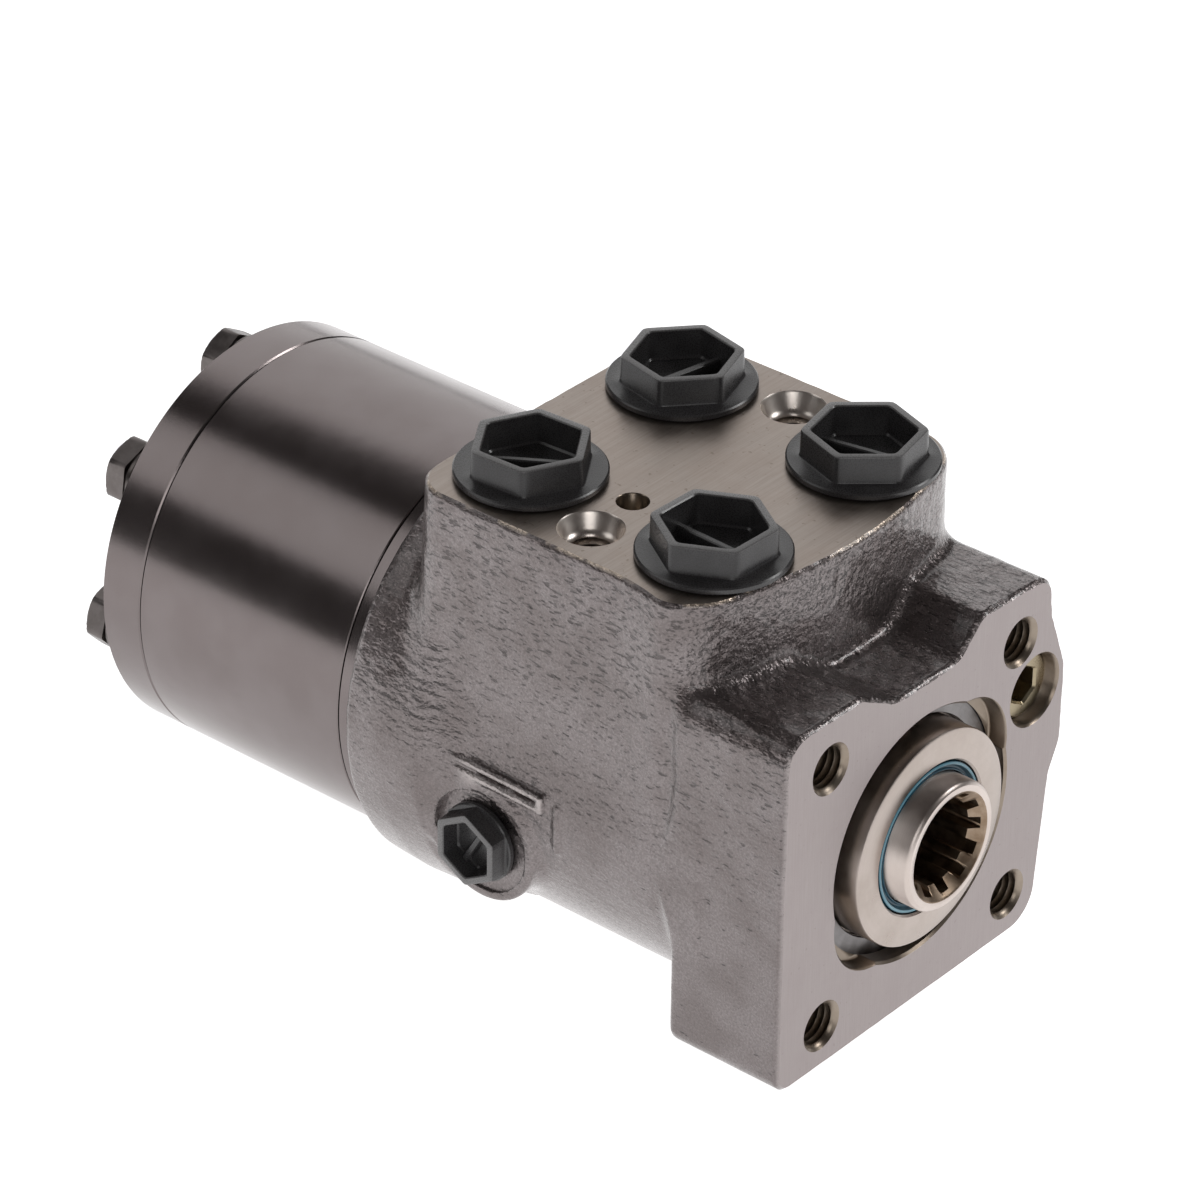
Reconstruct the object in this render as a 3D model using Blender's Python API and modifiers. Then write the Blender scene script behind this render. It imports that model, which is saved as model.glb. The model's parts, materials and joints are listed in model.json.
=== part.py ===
"""Hydrostatic steering unit: a rotary spool valve in a cast housing, with a 6/7 gerotor set behind it.

All sizes are in millimetres in the flange frame: X runs along the shaft with 0 at the mounting flange's
front face and + towards the steering column, Y is across, Z is up, and the shaft axis is Y = Z = 0.
The empty "flange_frame" puts that frame where the unit's box is centred above the world origin.
"""

import math

import bmesh
import bpy
from mathutils import Euler, Matrix, Vector

MM = 0.001
GAP = 0.3  # left between pieces that touch

# Driving dimensions of the casting
BOLT_SQUARE = 82.5 / math.sqrt(2)  # side of the square through the flange holes, on an 82.5 mm circle
FLANGE_THICK = 27.0
FLANGE_SIDE = 42.5
FLANGE_BOTTOM = -38.8
FLANGE_TOP = 40.4
PORT_FACE = 58.7
BLOCK_FRONT = -18.5
BLOCK_REAR = -97.0
BLOCK_HALF_WIDTH = 42.0
BLOCK_TOP_HALF_WIDTH = 40.0
BODY_RADIUS = 42.8
COLLAR_RADIUS = 47.2
HOUSING_REAR = -106.4

# Gerotor stack behind the housing
PLATE_THICK = 3.6
GEAR_WIDTH = 54.0
COVER_THICK = 10.2
STACK_RADIUS = 43.8
STACK_BOLTS = 7
STACK_BOLT_CIRCLE = 36.0
STACK_HOLE_RADIUS = 4.4
SEAL_GROOVE_DEPTH = 1.3
FIRST_BOLT_ANGLE = math.radians(90)

# Gear set
LOBES = STACK_BOLTS
ECCENTRICITY = 3.2
RING_LOBE_RADIUS = 8.0
RING_LOBE_CIRCLE = 35.0
RING_VALLEY_RADIUS = 33.6
GEAR_CLEARANCE = 0.25
SPLINE_TEETH = 12

# Valve
BORE_RADIUS = 20.05
SLEEVE_RADIUS = 19.85
SLEEVE_INNER = 15.8
SPOOL_RADIUS = 15.5
SPOOL_INNER = 11.8
NECK_RADIUS = 13.5
SPOOL_PROUD = 7.0
VALVE_FRONT = -17.9
GROOVES = (-38.0, -79.2)
PIN_X = -60.0
PIN_RADIUS = 4.0
SPRING_SLOT_X = -27.0
SPRING_WIDTH = 6.4
THRUST_X = -14.9
THRUST_NEEDLES = 10

# Gland at the front
GLAND_PROUD = 2.3
GLAND_RADIUS = 22.6
RECESS_RADIUS = 26.5
RECESS_DEPTH = 6.0
GLAND_SEAT_RADIUS = 25.8
GLAND_REAR = -12.3

# Ports
PORT_CENTRE_X = -56.7
PORT_SPACING = 45.0
PORT_RADIUS = 10.45
PORT_DEPTH = 16.0
PORT_BOLT_SPACING = 60.6
PORT_BOLT_X = -57.5
PIN_HOLE_X, PIN_HOLE_Y = -58.0, -17.6

# Relief valve, beside the spool and parallel to it, and the load-sensing port low on the left side
RELIEF_Y, RELIEF_Z = 34.7, 15.8
SIDE_PORT_X, SIDE_PORT_Z = -73.7, -12.4
SIDE_PORT_FACE = -43.2
SIDE_CAP_PROUD = 4.8
CAP_PHASES = (3.3, 48.3, -32.1, -18.3)  # how far each cap is screwed round, in degrees
SIDE_CAP_PHASE = 30.0

BOLT_HEAD_HEIGHT = 5.6
WASHER_THICK = 1.2

GEAR_FRONT = HOUSING_REAR - GAP - PLATE_THICK - GAP
COVER_FRONT = GEAR_FRONT - GEAR_WIDTH
COVER_REAR = COVER_FRONT - COVER_THICK
HEAD_END = COVER_REAR - GAP - WASHER_THICK - GAP - BOLT_HEAD_HEIGHT

# Where the flange frame stands: box centred on X and Y, resting on Z = 0
FRAME_X = -(SPOOL_PROUD + HEAD_END) / 2
FRAME_Y = (-SIDE_PORT_FACE + SIDE_CAP_PROUD - COLLAR_RADIUS) / 2
FRAME_Z = COLLAR_RADIUS

# Local X, Y and Z of a piece turned or extruded about Z, laid along the shaft: they become Y, Z and X
ALONG_SHAFT = Matrix(((0, 0, 1), (1, 0, 0), (0, 1, 0))).to_euler()
UPRIGHT = Euler()

FINISHES = {
    "cast": ((0.155, 0.135, 0.128), 0.42, 0.55),
    "machined": ((0.20, 0.17, 0.155), 0.30, 0.85),
    "steel": ((0.62, 0.59, 0.56), 0.25, 1.0),
    "hardened": ((0.42, 0.40, 0.38), 0.30, 1.0),
    "bolt": ((0.30, 0.26, 0.24), 0.38, 0.9),
    "bronze": ((0.45, 0.36, 0.24), 0.35, 1.0),
    "copper": ((0.72, 0.40, 0.24), 0.30, 1.0),
    "black_plastic": ((0.030, 0.033, 0.036), 0.42, 0.0),
    "black_rubber": ((0.02, 0.02, 0.02), 0.65, 0.0),
    "blue_rubber": ((0.05, 0.24, 0.36), 0.45, 0.0),
    "spring": ((0.34, 0.33, 0.32), 0.30, 1.0),
}


def clear_scene():
    for obj in list(bpy.data.objects):
        bpy.data.objects.remove(obj, do_unlink=True)
    for name in ("steering_unit", "cutters"):
        collection = bpy.data.collections.new(name)
        bpy.context.scene.collection.children.link(collection)
    frame = bpy.data.objects.new("flange_frame", None)
    frame.location = Vector((FRAME_X, FRAME_Y, FRAME_Z)) * MM
    bpy.data.collections["steering_unit"].objects.link(frame)


def place(obj, at=(0, 0, 0), turn=UPRIGHT, collection="steering_unit"):
    bpy.data.collections[collection].objects.link(obj)
    obj.parent = bpy.data.objects["flange_frame"]
    obj.location = Vector(at) * MM
    obj.rotation_euler = turn
    return obj


def mesh_object(name, bm, at=(0, 0, 0), turn=UPRIGHT):
    mesh = bpy.data.meshes.new(name)
    bm.to_mesh(mesh)
    bm.free()
    return place(bpy.data.objects.new(name, mesh), at, turn)


def finish(obj, name):
    """Gives a piece its own material and smooth shading on its round faces."""
    colour, roughness, metallic = FINISHES[name]
    material = bpy.data.materials.new(obj.name)
    material.use_nodes = True
    shader = material.node_tree.nodes["Principled BSDF"]
    shader.inputs["Base Color"].default_value = (*colour, 1)
    shader.inputs["Roughness"].default_value = roughness
    shader.inputs["Metallic"].default_value = metallic
    obj.data.materials.clear()
    obj.data.materials.append(material)
    if obj.type == "MESH":
        obj.data.shade_smooth()
        obj.data.set_sharp_from_angle(angle=math.radians(32))
    return obj


def rod(name, radius, start, end, segments=16, end_radius=None):
    """A cylinder, or a cone where end_radius is given, from one point to another."""
    start, end = Vector(start), Vector(end)
    along = end - start
    bm = bmesh.new()
    bmesh.ops.create_cone(
        bm,
        cap_ends=True,
        segments=segments,
        radius1=radius * MM,
        radius2=(radius if end_radius is None else end_radius) * MM,
        depth=along.length * MM,
    )
    turn = Vector((0, 0, 1)).rotation_difference(along).to_euler()
    return mesh_object(name, bm, (start + end) / 2, turn)


def box(name, low, high):
    low, high = Vector(low), Vector(high)
    bm = bmesh.new()
    bmesh.ops.create_cube(bm, size=1)
    bmesh.ops.scale(bm, vec=(high - low) * MM, verts=bm.verts)
    return mesh_object(name, bm, (low + high) / 2)


def turned(name, profile, at=(0, 0, 0), segments=32, turn=ALONG_SHAFT):
    """Turns a closed (along, radius) outline about the piece's own axis, which runs along the shaft."""
    area = sum(a[1] * b[0] - b[1] * a[0] for a, b in zip(profile, profile[1:] + profile[:1]))
    points = profile if area < 0 else profile[::-1]
    bm = bmesh.new()
    corners = [bm.verts.new((radius * MM, 0, along * MM)) for along, radius in points]
    for (_, radius), (_, next_radius), vert, following in zip(
        points, points[1:] + points[:1], corners, corners[1:] + corners[:1]
    ):
        if radius or next_radius:
            bm.edges.new((vert, following))
    obj = mesh_object(name, bm, at, turn)
    screw = obj.modifiers.new("turn", "SCREW")
    screw.axis = "Z"
    screw.steps = screw.render_steps = segments
    screw.use_merge_vertices = True
    screw.merge_threshold = 1e-6
    screw.use_smooth_shade = True
    return obj


def circle(radius, centre=(0, 0), segments=16, phase=0.0):
    angles = (phase + 2 * math.pi * k / segments for k in range(segments))
    return [(centre[0] + radius * math.cos(a), centre[1] + radius * math.sin(a)) for a in angles]


def hexagon(across_flats, centre=(0, 0), phase=0.0):
    return circle(across_flats / math.sqrt(3), centre, 6, phase)


def rounded(corners, step=math.radians(22.5)):
    """A closed outline from (u, v, radius) corners, with an arc at each."""
    outline = []
    for index, (u, v, radius) in enumerate(corners):
        here = Vector((u, v))
        back = (Vector(corners[index - 1][:2]) - here).normalized()
        ahead = (Vector(corners[(index + 1) % len(corners)][:2]) - here).normalized()
        half = back.angle(ahead) / 2
        centre = here + (back + ahead).normalized() * (radius / math.sin(half))
        first = here + back * (radius / math.tan(half)) - centre
        sweep = first.angle_signed(here + ahead * (radius / math.tan(half)) - centre)
        count = max(1, round(abs(sweep) / step))
        for k in range(count + 1):
            outline.append(tuple(centre + Matrix.Rotation(-sweep * k / count, 2) @ first))
    return outline


def extruded(name, outlines, low, high, at=(0, 0, 0), turn=ALONG_SHAFT):
    """Extrudes closed outlines from low to high; an outline inside another is a hole."""
    curve = bpy.data.curves.new(name, "CURVE")
    curve.dimensions = "2D"
    curve.fill_mode = "BOTH"
    curve.extrude = (high - low) / 2 * MM
    for outline in outlines:
        spline = curve.splines.new("POLY")
        spline.points.add(len(outline) - 1)
        for point, (u, v) in zip(spline.points, outline):
            point.co = (u * MM, v * MM, 0, 1)
        spline.use_cyclic_u = True
    shift = turn.to_matrix() @ Vector((0, 0, (low + high) / 2))
    guide = place(bpy.data.objects.new(name, curve), Vector(at) + shift, turn)
    return made_mesh(guide, name)


def made_mesh(guide, name):
    """The closed mesh of a curve object, which it replaces."""
    mesh = bpy.data.meshes.new_from_object(guide)
    bm = bmesh.new()
    bm.from_mesh(mesh)
    bmesh.ops.remove_doubles(bm, verts=bm.verts, dist=1e-6)
    bmesh.ops.recalc_face_normals(bm, faces=bm.faces)
    bm.to_mesh(mesh)
    bm.free()
    at, turn = guide.location / MM, guide.rotation_euler.copy()
    bpy.data.objects.remove(guide, do_unlink=True)
    return place(bpy.data.objects.new(name, mesh), at, turn)


def combine(obj, others, operation):
    """Adds helpers to a piece or cuts them from it, with one exact Boolean over a collection of them."""
    helpers = bpy.data.collections.new(f"{obj.name}_{operation.lower()}")
    bpy.data.collections["cutters"].children.link(helpers)
    for other in others:
        bpy.data.collections["steering_unit"].objects.unlink(other)
        helpers.objects.link(other)
        other.hide_render = True
        other.display_type = "WIRE"
    modifier = obj.modifiers.new(operation.lower(), "BOOLEAN")
    modifier.operation = operation
    modifier.operand_type = "COLLECTION"
    modifier.collection = helpers
    modifier.solver = "EXACT"
    return obj


def cut(obj, *cutters):
    return combine(obj, cutters, "DIFFERENCE")


def join(obj, *additions):
    return combine(obj, additions, "UNION")


def bolt_angles():
    return [FIRST_BOLT_ANGLE + 2 * math.pi * k / STACK_BOLTS for k in range(STACK_BOLTS)]


def polar(radius, angle):
    return radius * math.cos(angle), radius * math.sin(angle)


# ---- housing ----------------------------------------------------------------------------------------


def flange_outline():
    """Seen from the front: a plate with a dip cast into its top edge and a bulge over the relief valve."""
    return rounded(
        [
            (-FLANGE_SIDE, FLANGE_BOTTOM, 4),
            (38.0, FLANGE_BOTTOM, 8),
            (41.4, -6.5, 4),
            (44.6, 0, 4),
            (44.6, 18, 6),
            (39.6, 31, 6),
            (38.6, FLANGE_TOP, 5),
            (16.8, FLANGE_TOP + 1, 3),
            (9.2, 34.6, 7),
            (-9.4, 34.6, 7),
            (-20.0, FLANGE_TOP, 3),
            (-FLANGE_SIDE, FLANGE_TOP, 6),
        ]
    )


def port_block():
    bm = bmesh.new()
    bmesh.ops.create_cube(bm, size=1)
    length, bottom = BLOCK_FRONT - BLOCK_REAR, -8.0
    size = Vector((length, 2 * BLOCK_HALF_WIDTH, PORT_FACE - bottom)) * MM
    bmesh.ops.scale(bm, vec=size, verts=bm.verts)
    for vert in bm.verts:
        if vert.co.z > 0:
            vert.co.y *= BLOCK_TOP_HALF_WIDTH / BLOCK_HALF_WIDTH
    upright = [edge for edge in bm.edges if abs(edge.verts[0].co.z - edge.verts[1].co.z) > MM]
    bmesh.ops.bevel(bm, geom=upright, offset=9 * MM, segments=3, profile=0.5, affect="EDGES")
    return mesh_object("housing", bm, ((BLOCK_FRONT + BLOCK_REAR) / 2, 0, (PORT_FACE + bottom) / 2))


def housing_masses():
    collar = turned(
        "collar",
        [
            (HOUSING_REAR, 0),
            (HOUSING_REAR, 44.2),
            (-98, COLLAR_RADIUS),
            (-88, COLLAR_RADIUS),
            (-79, 42.0),
            (-79, 0),
        ],
    )
    x, z = SIDE_PORT_X, SIDE_PORT_Z
    return [
        rod("body", BODY_RADIUS, (-100, 0, 0), (-20, 0, 0), 40),
        collar,
        extruded("flange", [flange_outline()], -FLANGE_THICK, 0),
        rod("relief_boss", 9.8, (-52, RELIEF_Y, RELIEF_Z), (-5, RELIEF_Y, RELIEF_Z), 24),
        rod("side_boss", 14.5, (x, -20, z), (x, SIDE_PORT_FACE, z), 32),
    ]


def valve_bore():
    """The stepped front recess, gland and bearing seats, and the main bore with its two annular grooves."""
    ring_front, ring_rear = -4.1, -RECESS_DEPTH
    front = [
        (1, RECESS_RADIUS),
        (ring_front, RECESS_RADIUS),
        (ring_front, 28.4),
        (ring_rear, 28.4),
        (ring_rear, GLAND_SEAT_RADIUS),
        (-12.6, GLAND_SEAT_RADIUS),
        (-12.6, 24.6),
        (-17.6, 24.6),
        (-17.6, BORE_RADIUS),
    ]
    grooves = []
    for groove in GROOVES:
        grooves += [
            (groove + 2.5, BORE_RADIUS),
            (groove + 2.5, 22.6),
            (groove - 2.5, 22.6),
            (groove - 2.5, BORE_RADIUS),
        ]
    rear = [(HOUSING_REAR - 1, BORE_RADIUS), (HOUSING_REAR - 1, 0), (1, 0)]
    return turned("valve_bore", front + grooves + rear)


def recess_pockets():
    """Two deeper scallops, on a diagonal, that let a tool reach behind the gland."""
    pockets = []
    for angle in (math.radians(38), math.radians(218)):
        y, z = polar(14.6, angle)
        pockets.append(rod("recess_pocket", 14.4, (1, y, z), (-RECESS_DEPTH + 2, y, z), 32))
    return pockets


def flange_holes():
    half = BOLT_SQUARE / 2
    profile = [(1, 0), (1, 6.0), (0, 6.0), (-1.0, 5.0), (-18, 5.0), (-19.5, 0)]
    return [
        turned("flange_hole", profile, (0, y, z), 16) for y in (-half, half) for z in (-half, half)
    ]


def port_places():
    half = PORT_SPACING / 2
    return [(PORT_CENTRE_X + dx, dy) for dx in (-half, half) for dy in (-half, half)]


def port_cuts():
    """Each port's threaded hole and the drilling from its floor to the nearest groove of the bore."""
    cuts = []
    floor = PORT_FACE - PORT_DEPTH
    for x, y in port_places():
        side = math.copysign(1, y)
        groove = GROOVES[0] if x > PORT_CENTRE_X else GROOVES[-1]
        cuts.append(rod("port", PORT_RADIUS, (x, y, floor), (x, y, PORT_FACE + 1), 20))
        if (x, y) == port_places()[1]:
            cuts.append(rod("check_bush_seat", 7.5, (x, y, 36.5), (x, y, floor + 1), 20))
            cuts.append(rod("check_chamber", 5.4, (x, y, 27.4), (x, y, 37), 16))
        cuts.append(rod("port_drilling", 3.4, (x, side * 19.5, floor + 1), (groove, side * 12.5, 12), 8))
    return cuts


def port_face_holes():
    """Two counterbored screw holes and a locating pin's hole."""
    x, above = PORT_BOLT_X, PORT_FACE + 1
    cuts = []
    for y in (-PORT_BOLT_SPACING / 2, PORT_BOLT_SPACING / 2):
        cuts.append(rod("port_bolt_counterbore", 6.25, (x, y, PORT_FACE - 3.2), (x, y, above), 20))
        cuts.append(rod("port_bolt_hole", 4.6, (x, y, PORT_FACE - 18), (x, y, PORT_FACE - 3), 16))
    floor = (PIN_HOLE_X, PIN_HOLE_Y, PORT_FACE - 13)
    cuts.append(rod("pin_hole", 3.0, floor, (PIN_HOLE_X, PIN_HOLE_Y, above), 14))
    return cuts


def relief_cuts():
    bore = turned(
        "relief_bore",
        [(1, 0), (1, 7.3), (-16, 7.3), (-16, 5.2), (-42, 5.2), (-42, 2.5), (-50, 2.5), (-50, 0)],
        (0, RELIEF_Y, RELIEF_Z),
        24,
    )
    return [bore, rod("relief_drilling", 2.4, (-47, RELIEF_Y, RELIEF_Z), (-51, 19, 7), 10)]


def side_port_cuts():
    face, x, z = SIDE_PORT_FACE, SIDE_PORT_X, SIDE_PORT_Z
    return [
        rod("side_spotface", 11.2, (x, face + 0.6, z), (x, face - 6, z), 32),
        rod("side_port", 6.6, (x, face + 13, z), (x, face - 1, z), 20),
        rod("side_drilling", 2.5, (x, face + 12, z), (GROOVES[-1], -16, -8), 10),
    ]


def rear_cuts():
    """Bolt holes, the seven commutating drillings between them and the seal groove."""
    cuts = stack_bolt_cuts(HOUSING_REAR, HOUSING_REAR + 17)
    for angle in bolt_angles():
        between = angle + math.pi / STACK_BOLTS
        outer, inner = polar(28.5, between), polar(18.5, between)
        cuts.append(rod("commutating_drilling", 2.4, (HOUSING_REAR - 1, *outer), (-91, *inner), 6))
    low, high = HOUSING_REAR - 0.5, HOUSING_REAR + SEAL_GROOVE_DEPTH
    cuts.append(turned("rear_groove", [(low, 41.0), (low, 43.0), (high, 43.0), (high, 41.0)]))
    return cuts


def make_housing():
    housing = join(port_block(), *housing_masses())
    cut(housing, valve_bore(), *recess_pockets(), *flange_holes(), *port_cuts(), *port_face_holes())
    cut(housing, *relief_cuts(), *side_port_cuts(), *rear_cuts())
    finish(housing, "cast")


# ---- gerotor stack ----------------------------------------------------------------------------------


def grooved_disc(name, plain, sealed, inner):
    """A disc of the stack's size, with a seal groove in its sealed face and a hole where inner isn't 0."""
    floor = sealed + math.copysign(SEAL_GROOVE_DEPTH, plain - sealed)
    groove = [(sealed, 41.0), (floor, 41.0), (floor, 43.0), (sealed, 43.0)]
    rim = [(sealed, STACK_RADIUS), (plain, STACK_RADIUS), (plain, inner)]
    return turned(name, [(sealed, inner), *groove, *rim], segments=48)


def stack_rods(name, radius, circle_radius, phase, low, high, segments):
    """Seven rods on a circle, each turned by phase from a bolt's place."""
    rods = []
    for angle in bolt_angles():
        y, z = polar(circle_radius, angle + phase)
        rods.append(rod(name, radius, (low, y, z), (high, y, z), segments))
    return rods


def stack_bolt_cuts(low, high):
    return stack_rods("bolt_hole", STACK_HOLE_RADIUS, STACK_BOLT_CIRCLE, 0, low - 1, high + 1, 10)


def bolt_hole_outlines():
    return [circle(STACK_HOLE_RADIUS, polar(STACK_BOLT_CIRCLE, angle), 10) for angle in bolt_angles()]


def ring_outline(steps=8):
    """Inside of the ring: seven round lobes with round valleys between them."""
    outline = []
    apart = RING_LOBE_CIRCLE
    reach = (apart**2 + RING_LOBE_RADIUS**2 - RING_VALLEY_RADIUS**2) / (2 * apart * RING_LOBE_RADIUS)
    half = math.acos(reach)
    for angle in bolt_angles():
        centre = polar(apart, angle)
        for k in range(steps + 1):
            turn = angle + math.pi + half - 2 * half * k / steps
            y, z = polar(RING_LOBE_RADIUS, turn)
            outline.append((centre[0] + y, centre[1] + z))
        edge = math.asin(RING_LOBE_RADIUS * math.sin(half) / RING_VALLEY_RADIUS)
        first, last = angle + edge, angle + 2 * math.pi / LOBES - edge
        outline += [polar(RING_VALLEY_RADIUS, first + (last - first) * k / 4) for k in range(1, 4)]
    return outline


def rotor_outline(steps=120):
    """The curve that stays in touch with all seven lobes, set back by the running clearance."""
    ratio = RING_LOBE_CIRCLE / (ECCENTRICITY * LOBES)
    lobe = RING_LOBE_RADIUS + GEAR_CLEARANCE
    outline = []
    for k in range(steps):
        phi = 2 * math.pi * k / steps
        swing = math.atan2(math.sin((1 - LOBES) * phi), ratio - math.cos((1 - LOBES) * phi))
        centre, contact = Vector(polar(RING_LOBE_CIRCLE, -phi)), Vector(polar(lobe, -phi - swing))
        orbit = Vector(polar(ECCENTRICITY, -LOBES * phi))
        outline.append(tuple(Matrix.Rotation(FIRST_BOLT_ANGLE, 2) @ (centre - contact - orbit)))
    return outline


def spline_outline(tip, root, tip_share, phase=0.0):
    """A toothed outline: tips at one radius, roots at another, and tips over tip_share of each pitch."""
    pitch = 2 * math.pi / SPLINE_TEETH
    outline = []
    for tooth in range(SPLINE_TEETH):
        middle = phase + tooth * pitch
        half_tip, half_foot = pitch * tip_share / 2, pitch * (0.5 - (1 - tip_share) / 3)
        outline += [polar(root, middle - half_foot), polar(tip, middle - half_tip)]
        outline += [polar(tip, middle + half_tip), polar(root, middle + half_foot)]
    return outline


def rotor_centre():
    """At rest the rotor is pushed towards the topmost lobe of the ring."""
    return polar(ECCENTRICITY, FIRST_BOLT_ANGLE)


def make_gear_stack():
    plate_front = HOUSING_REAR - GAP
    plate_rear = plate_front - PLATE_THICK
    plate = grooved_disc("distributor_plate", plate_front, plate_rear, 13.0)
    windows = stack_rods("window", 2.8, 28.5, math.pi / LOBES, plate_rear - 1, plate_front + 1, 8)
    finish(cut(plate, *stack_bolt_cuts(plate_rear, plate_front), *windows), "machined")
    ring = extruded(
        "gerotor_ring",
        [circle(STACK_RADIUS, segments=48), ring_outline(), *bolt_hole_outlines()],
        COVER_FRONT + GAP,
        GEAR_FRONT,
    )
    finish(ring, "machined")
    rotor = extruded(
        "gerotor_rotor",
        [rotor_outline(), spline_outline(11.6, 9.7, 0.46)],
        COVER_FRONT + 2 * GAP,
        GEAR_FRONT - GAP,
        (0, *rotor_centre()),
    )
    finish(rotor, "hardened")
    cover = grooved_disc("end_cover", COVER_REAR, COVER_FRONT, 0)
    finish(cut(cover, *stack_bolt_cuts(COVER_REAR, COVER_FRONT)), "machined")


def make_stack_bolts():
    head_front = COVER_REAR - GAP - WASHER_THICK - GAP
    for number, angle in enumerate(bolt_angles(), 1):
        y, z = polar(STACK_BOLT_CIRCLE, angle)
        washer = extruded(
            f"cover_washer_{number}",
            [circle(7.0, segments=14), circle(4.4, segments=10)],
            COVER_REAR - GAP - WASHER_THICK,
            COVER_REAR - GAP,
            (0, y, z),
        )
        finish(washer, "bolt")
        head_rear = head_front - BOLT_HEAD_HEIGHT
        head = [hexagon(13.0, phase=angle)]
        bolt = extruded(f"cover_bolt_{number}", head, head_rear, head_front, (0, y, z))
        shank = rod("shank", 4.0, (head_front - 1, y, z), (HOUSING_REAR + 15, y, z), 10)
        finish(join(bolt, shank), "bolt")


def make_stack_seals():
    faces = {
        "housing_o_ring": HOUSING_REAR + 0.35,
        "plate_o_ring": HOUSING_REAR - GAP - PLATE_THICK + 0.35,
        "cover_o_ring": COVER_FRONT - 0.35,
    }
    for name, middle in faces.items():
        profile = circle(0.65, (middle, 42.0), 5)
        finish(turned(name, profile, segments=32), "black_rubber")


# ---- valve and drive --------------------------------------------------------------------------------


def radial_holes(name, radius, places, reach=26, segments=8):
    """Through drillings across the shaft at (x, angle) places."""
    holes = []
    for x, angle in places:
        y, z = polar(reach, angle)
        holes.append(rod(name, radius, (x, -y, -z), (x, y, z), segments))
    return holes


def make_sleeve():
    front, rear = VALVE_FRONT, HOUSING_REAR + 0.5
    tube = [(front, SLEEVE_INNER), (front, SLEEVE_RADIUS), (rear, SLEEVE_RADIUS), (rear, SLEEVE_INNER)]
    sleeve = turned("control_sleeve", tube)
    thirds = [math.pi * k / 3 for k in range(3)]
    feeds = [(x, angle + math.pi / 6 * (x < -60)) for x in (GROOVES[0], GROOVES[-1]) for angle in thirds]
    pin_hole = rod("cross_pin_hole", PIN_RADIUS + GAP, (PIN_X, 0, -26), (PIN_X, 0, 26), 20)
    slot = spring_slot(3.1)
    finish(cut(sleeve, *radial_holes("sleeve_feed", 1.8, feeds), pin_hole, slot), "hardened")


def spring_slot(half_height):
    half_width = SPRING_WIDTH / 2 + 0.4
    low = (SPRING_SLOT_X - half_width, -26, -half_height)
    return box("spring_slot", low, (SPRING_SLOT_X + half_width, 26, half_height))


def make_spool():
    spool = turned(
        "control_spool",
        [
            (SPOOL_PROUD, 11.2),
            (SPOOL_PROUD, 12.9),
            (SPOOL_PROUD - 0.8, NECK_RADIUS),
            (VALVE_FRONT, NECK_RADIUS),
            (VALVE_FRONT, SPOOL_RADIUS),
            (-104.5, SPOOL_RADIUS),
            (-104.5, SPOOL_INNER),
            (-22.0, SPOOL_INNER),
            (-22.0, 8.9),
            (SPOOL_PROUD - 2.3, 8.9),
        ],
    )
    spaces = extruded("input_spline", [spline_outline(10.6, 8.2, 0.46)], -23, SPOOL_PROUD - 1)
    pin_window = rod("pin_window", PIN_RADIUS + 2.9, (PIN_X, 0, -26), (PIN_X, 0, 26), 24)
    grooves = []
    for k in range(6):
        y, z = polar(SPOOL_RADIUS + 0.4, math.pi * (k + 0.5) / 3)
        grooves.append(rod("metering_groove", 1.6, (-36, y, z), (-50, y, z), 6))
    finish(cut(spool, spaces, pin_window, spring_slot(5.6), *grooves), "steel")


def make_cross_pin():
    pin = turned(
        "cross_pin",
        [(-18.8, 0), (-18.8, 3.4), (-18.2, PIN_RADIUS), (18.2, PIN_RADIUS), (18.8, 3.4), (18.8, 0)],
        (PIN_X, 0, 0),
        20,
        UPRIGHT,
    )
    finish(pin, "steel")


def arched_leaf(thick, rise, half_length=18.4, steps=8):
    """Side view of a leaf, along Y and bowed in Z by rise at its middle."""
    top, bottom = [], []
    for k in range(steps + 1):
        y = half_length * (2 * k / steps - 1)
        z = rise * (1 - (y / half_length) ** 2)
        bottom.append((y, z - thick / 2))
        top.append((y, z + thick / 2))
    return bottom + top[::-1]


def make_centring_springs():
    """Two flat leaves between two pairs that are bowed away from each other at their ends."""
    thick = 0.6
    layers = {
        "centring_leaf_flat_1": (0.5, 0.0, 2),
        "centring_leaf_flat_2": (-0.5, 0.0, 2),
        "centring_leaf_arched_1": (2.2, -0.75, 8),
        "centring_leaf_arched_2": (-2.2, 0.75, 8),
    }
    for name, (height, rise, steps) in layers.items():
        leaf = extruded(
            name,
            [arched_leaf(thick, rise, steps=steps)],
            SPRING_SLOT_X - SPRING_WIDTH / 2,
            SPRING_SLOT_X + SPRING_WIDTH / 2,
            (0, 0, height),
        )
        finish(leaf, "spring")


def cardan_axis():
    """From the cross pin's middle to the middle of the rotor's coupling teeth."""
    return Vector((PIN_X, 0, 0)), Vector((GEAR_FRONT - 12, *rotor_centre()))


def make_cardan():
    start, end = cardan_axis()
    along = (start - end).normalized()
    length = (start - end).length
    tilt = (along.to_track_quat("Z", "Y")).to_euler()
    shaft = turned(
        "cardan_shaft",
        [
            (-7.5, 0),
            (-7.5, 7.6),
            (12, 7.6),
            (length - 14, 7.6),
            (length - 10, 9.4),
            (length + 7, 9.4),
            (length + 9, 8.0),
            (length + 9, 0),
        ],
        end,
        24,
        tilt,
    )
    teeth = extruded("coupling_teeth", [spline_outline(11.0, 8.8, 0.24)], -6, 6, end, tilt)
    fork = box("fork_slot", (PIN_X - 5.4, -14, -PIN_RADIUS - 0.45), (PIN_X + 14, 14, PIN_RADIUS + 0.45))
    fork.rotation_euler = (math.pi / 2, 0, 0)
    finish(cut(join(shaft, teeth), fork), "hardened")


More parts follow.
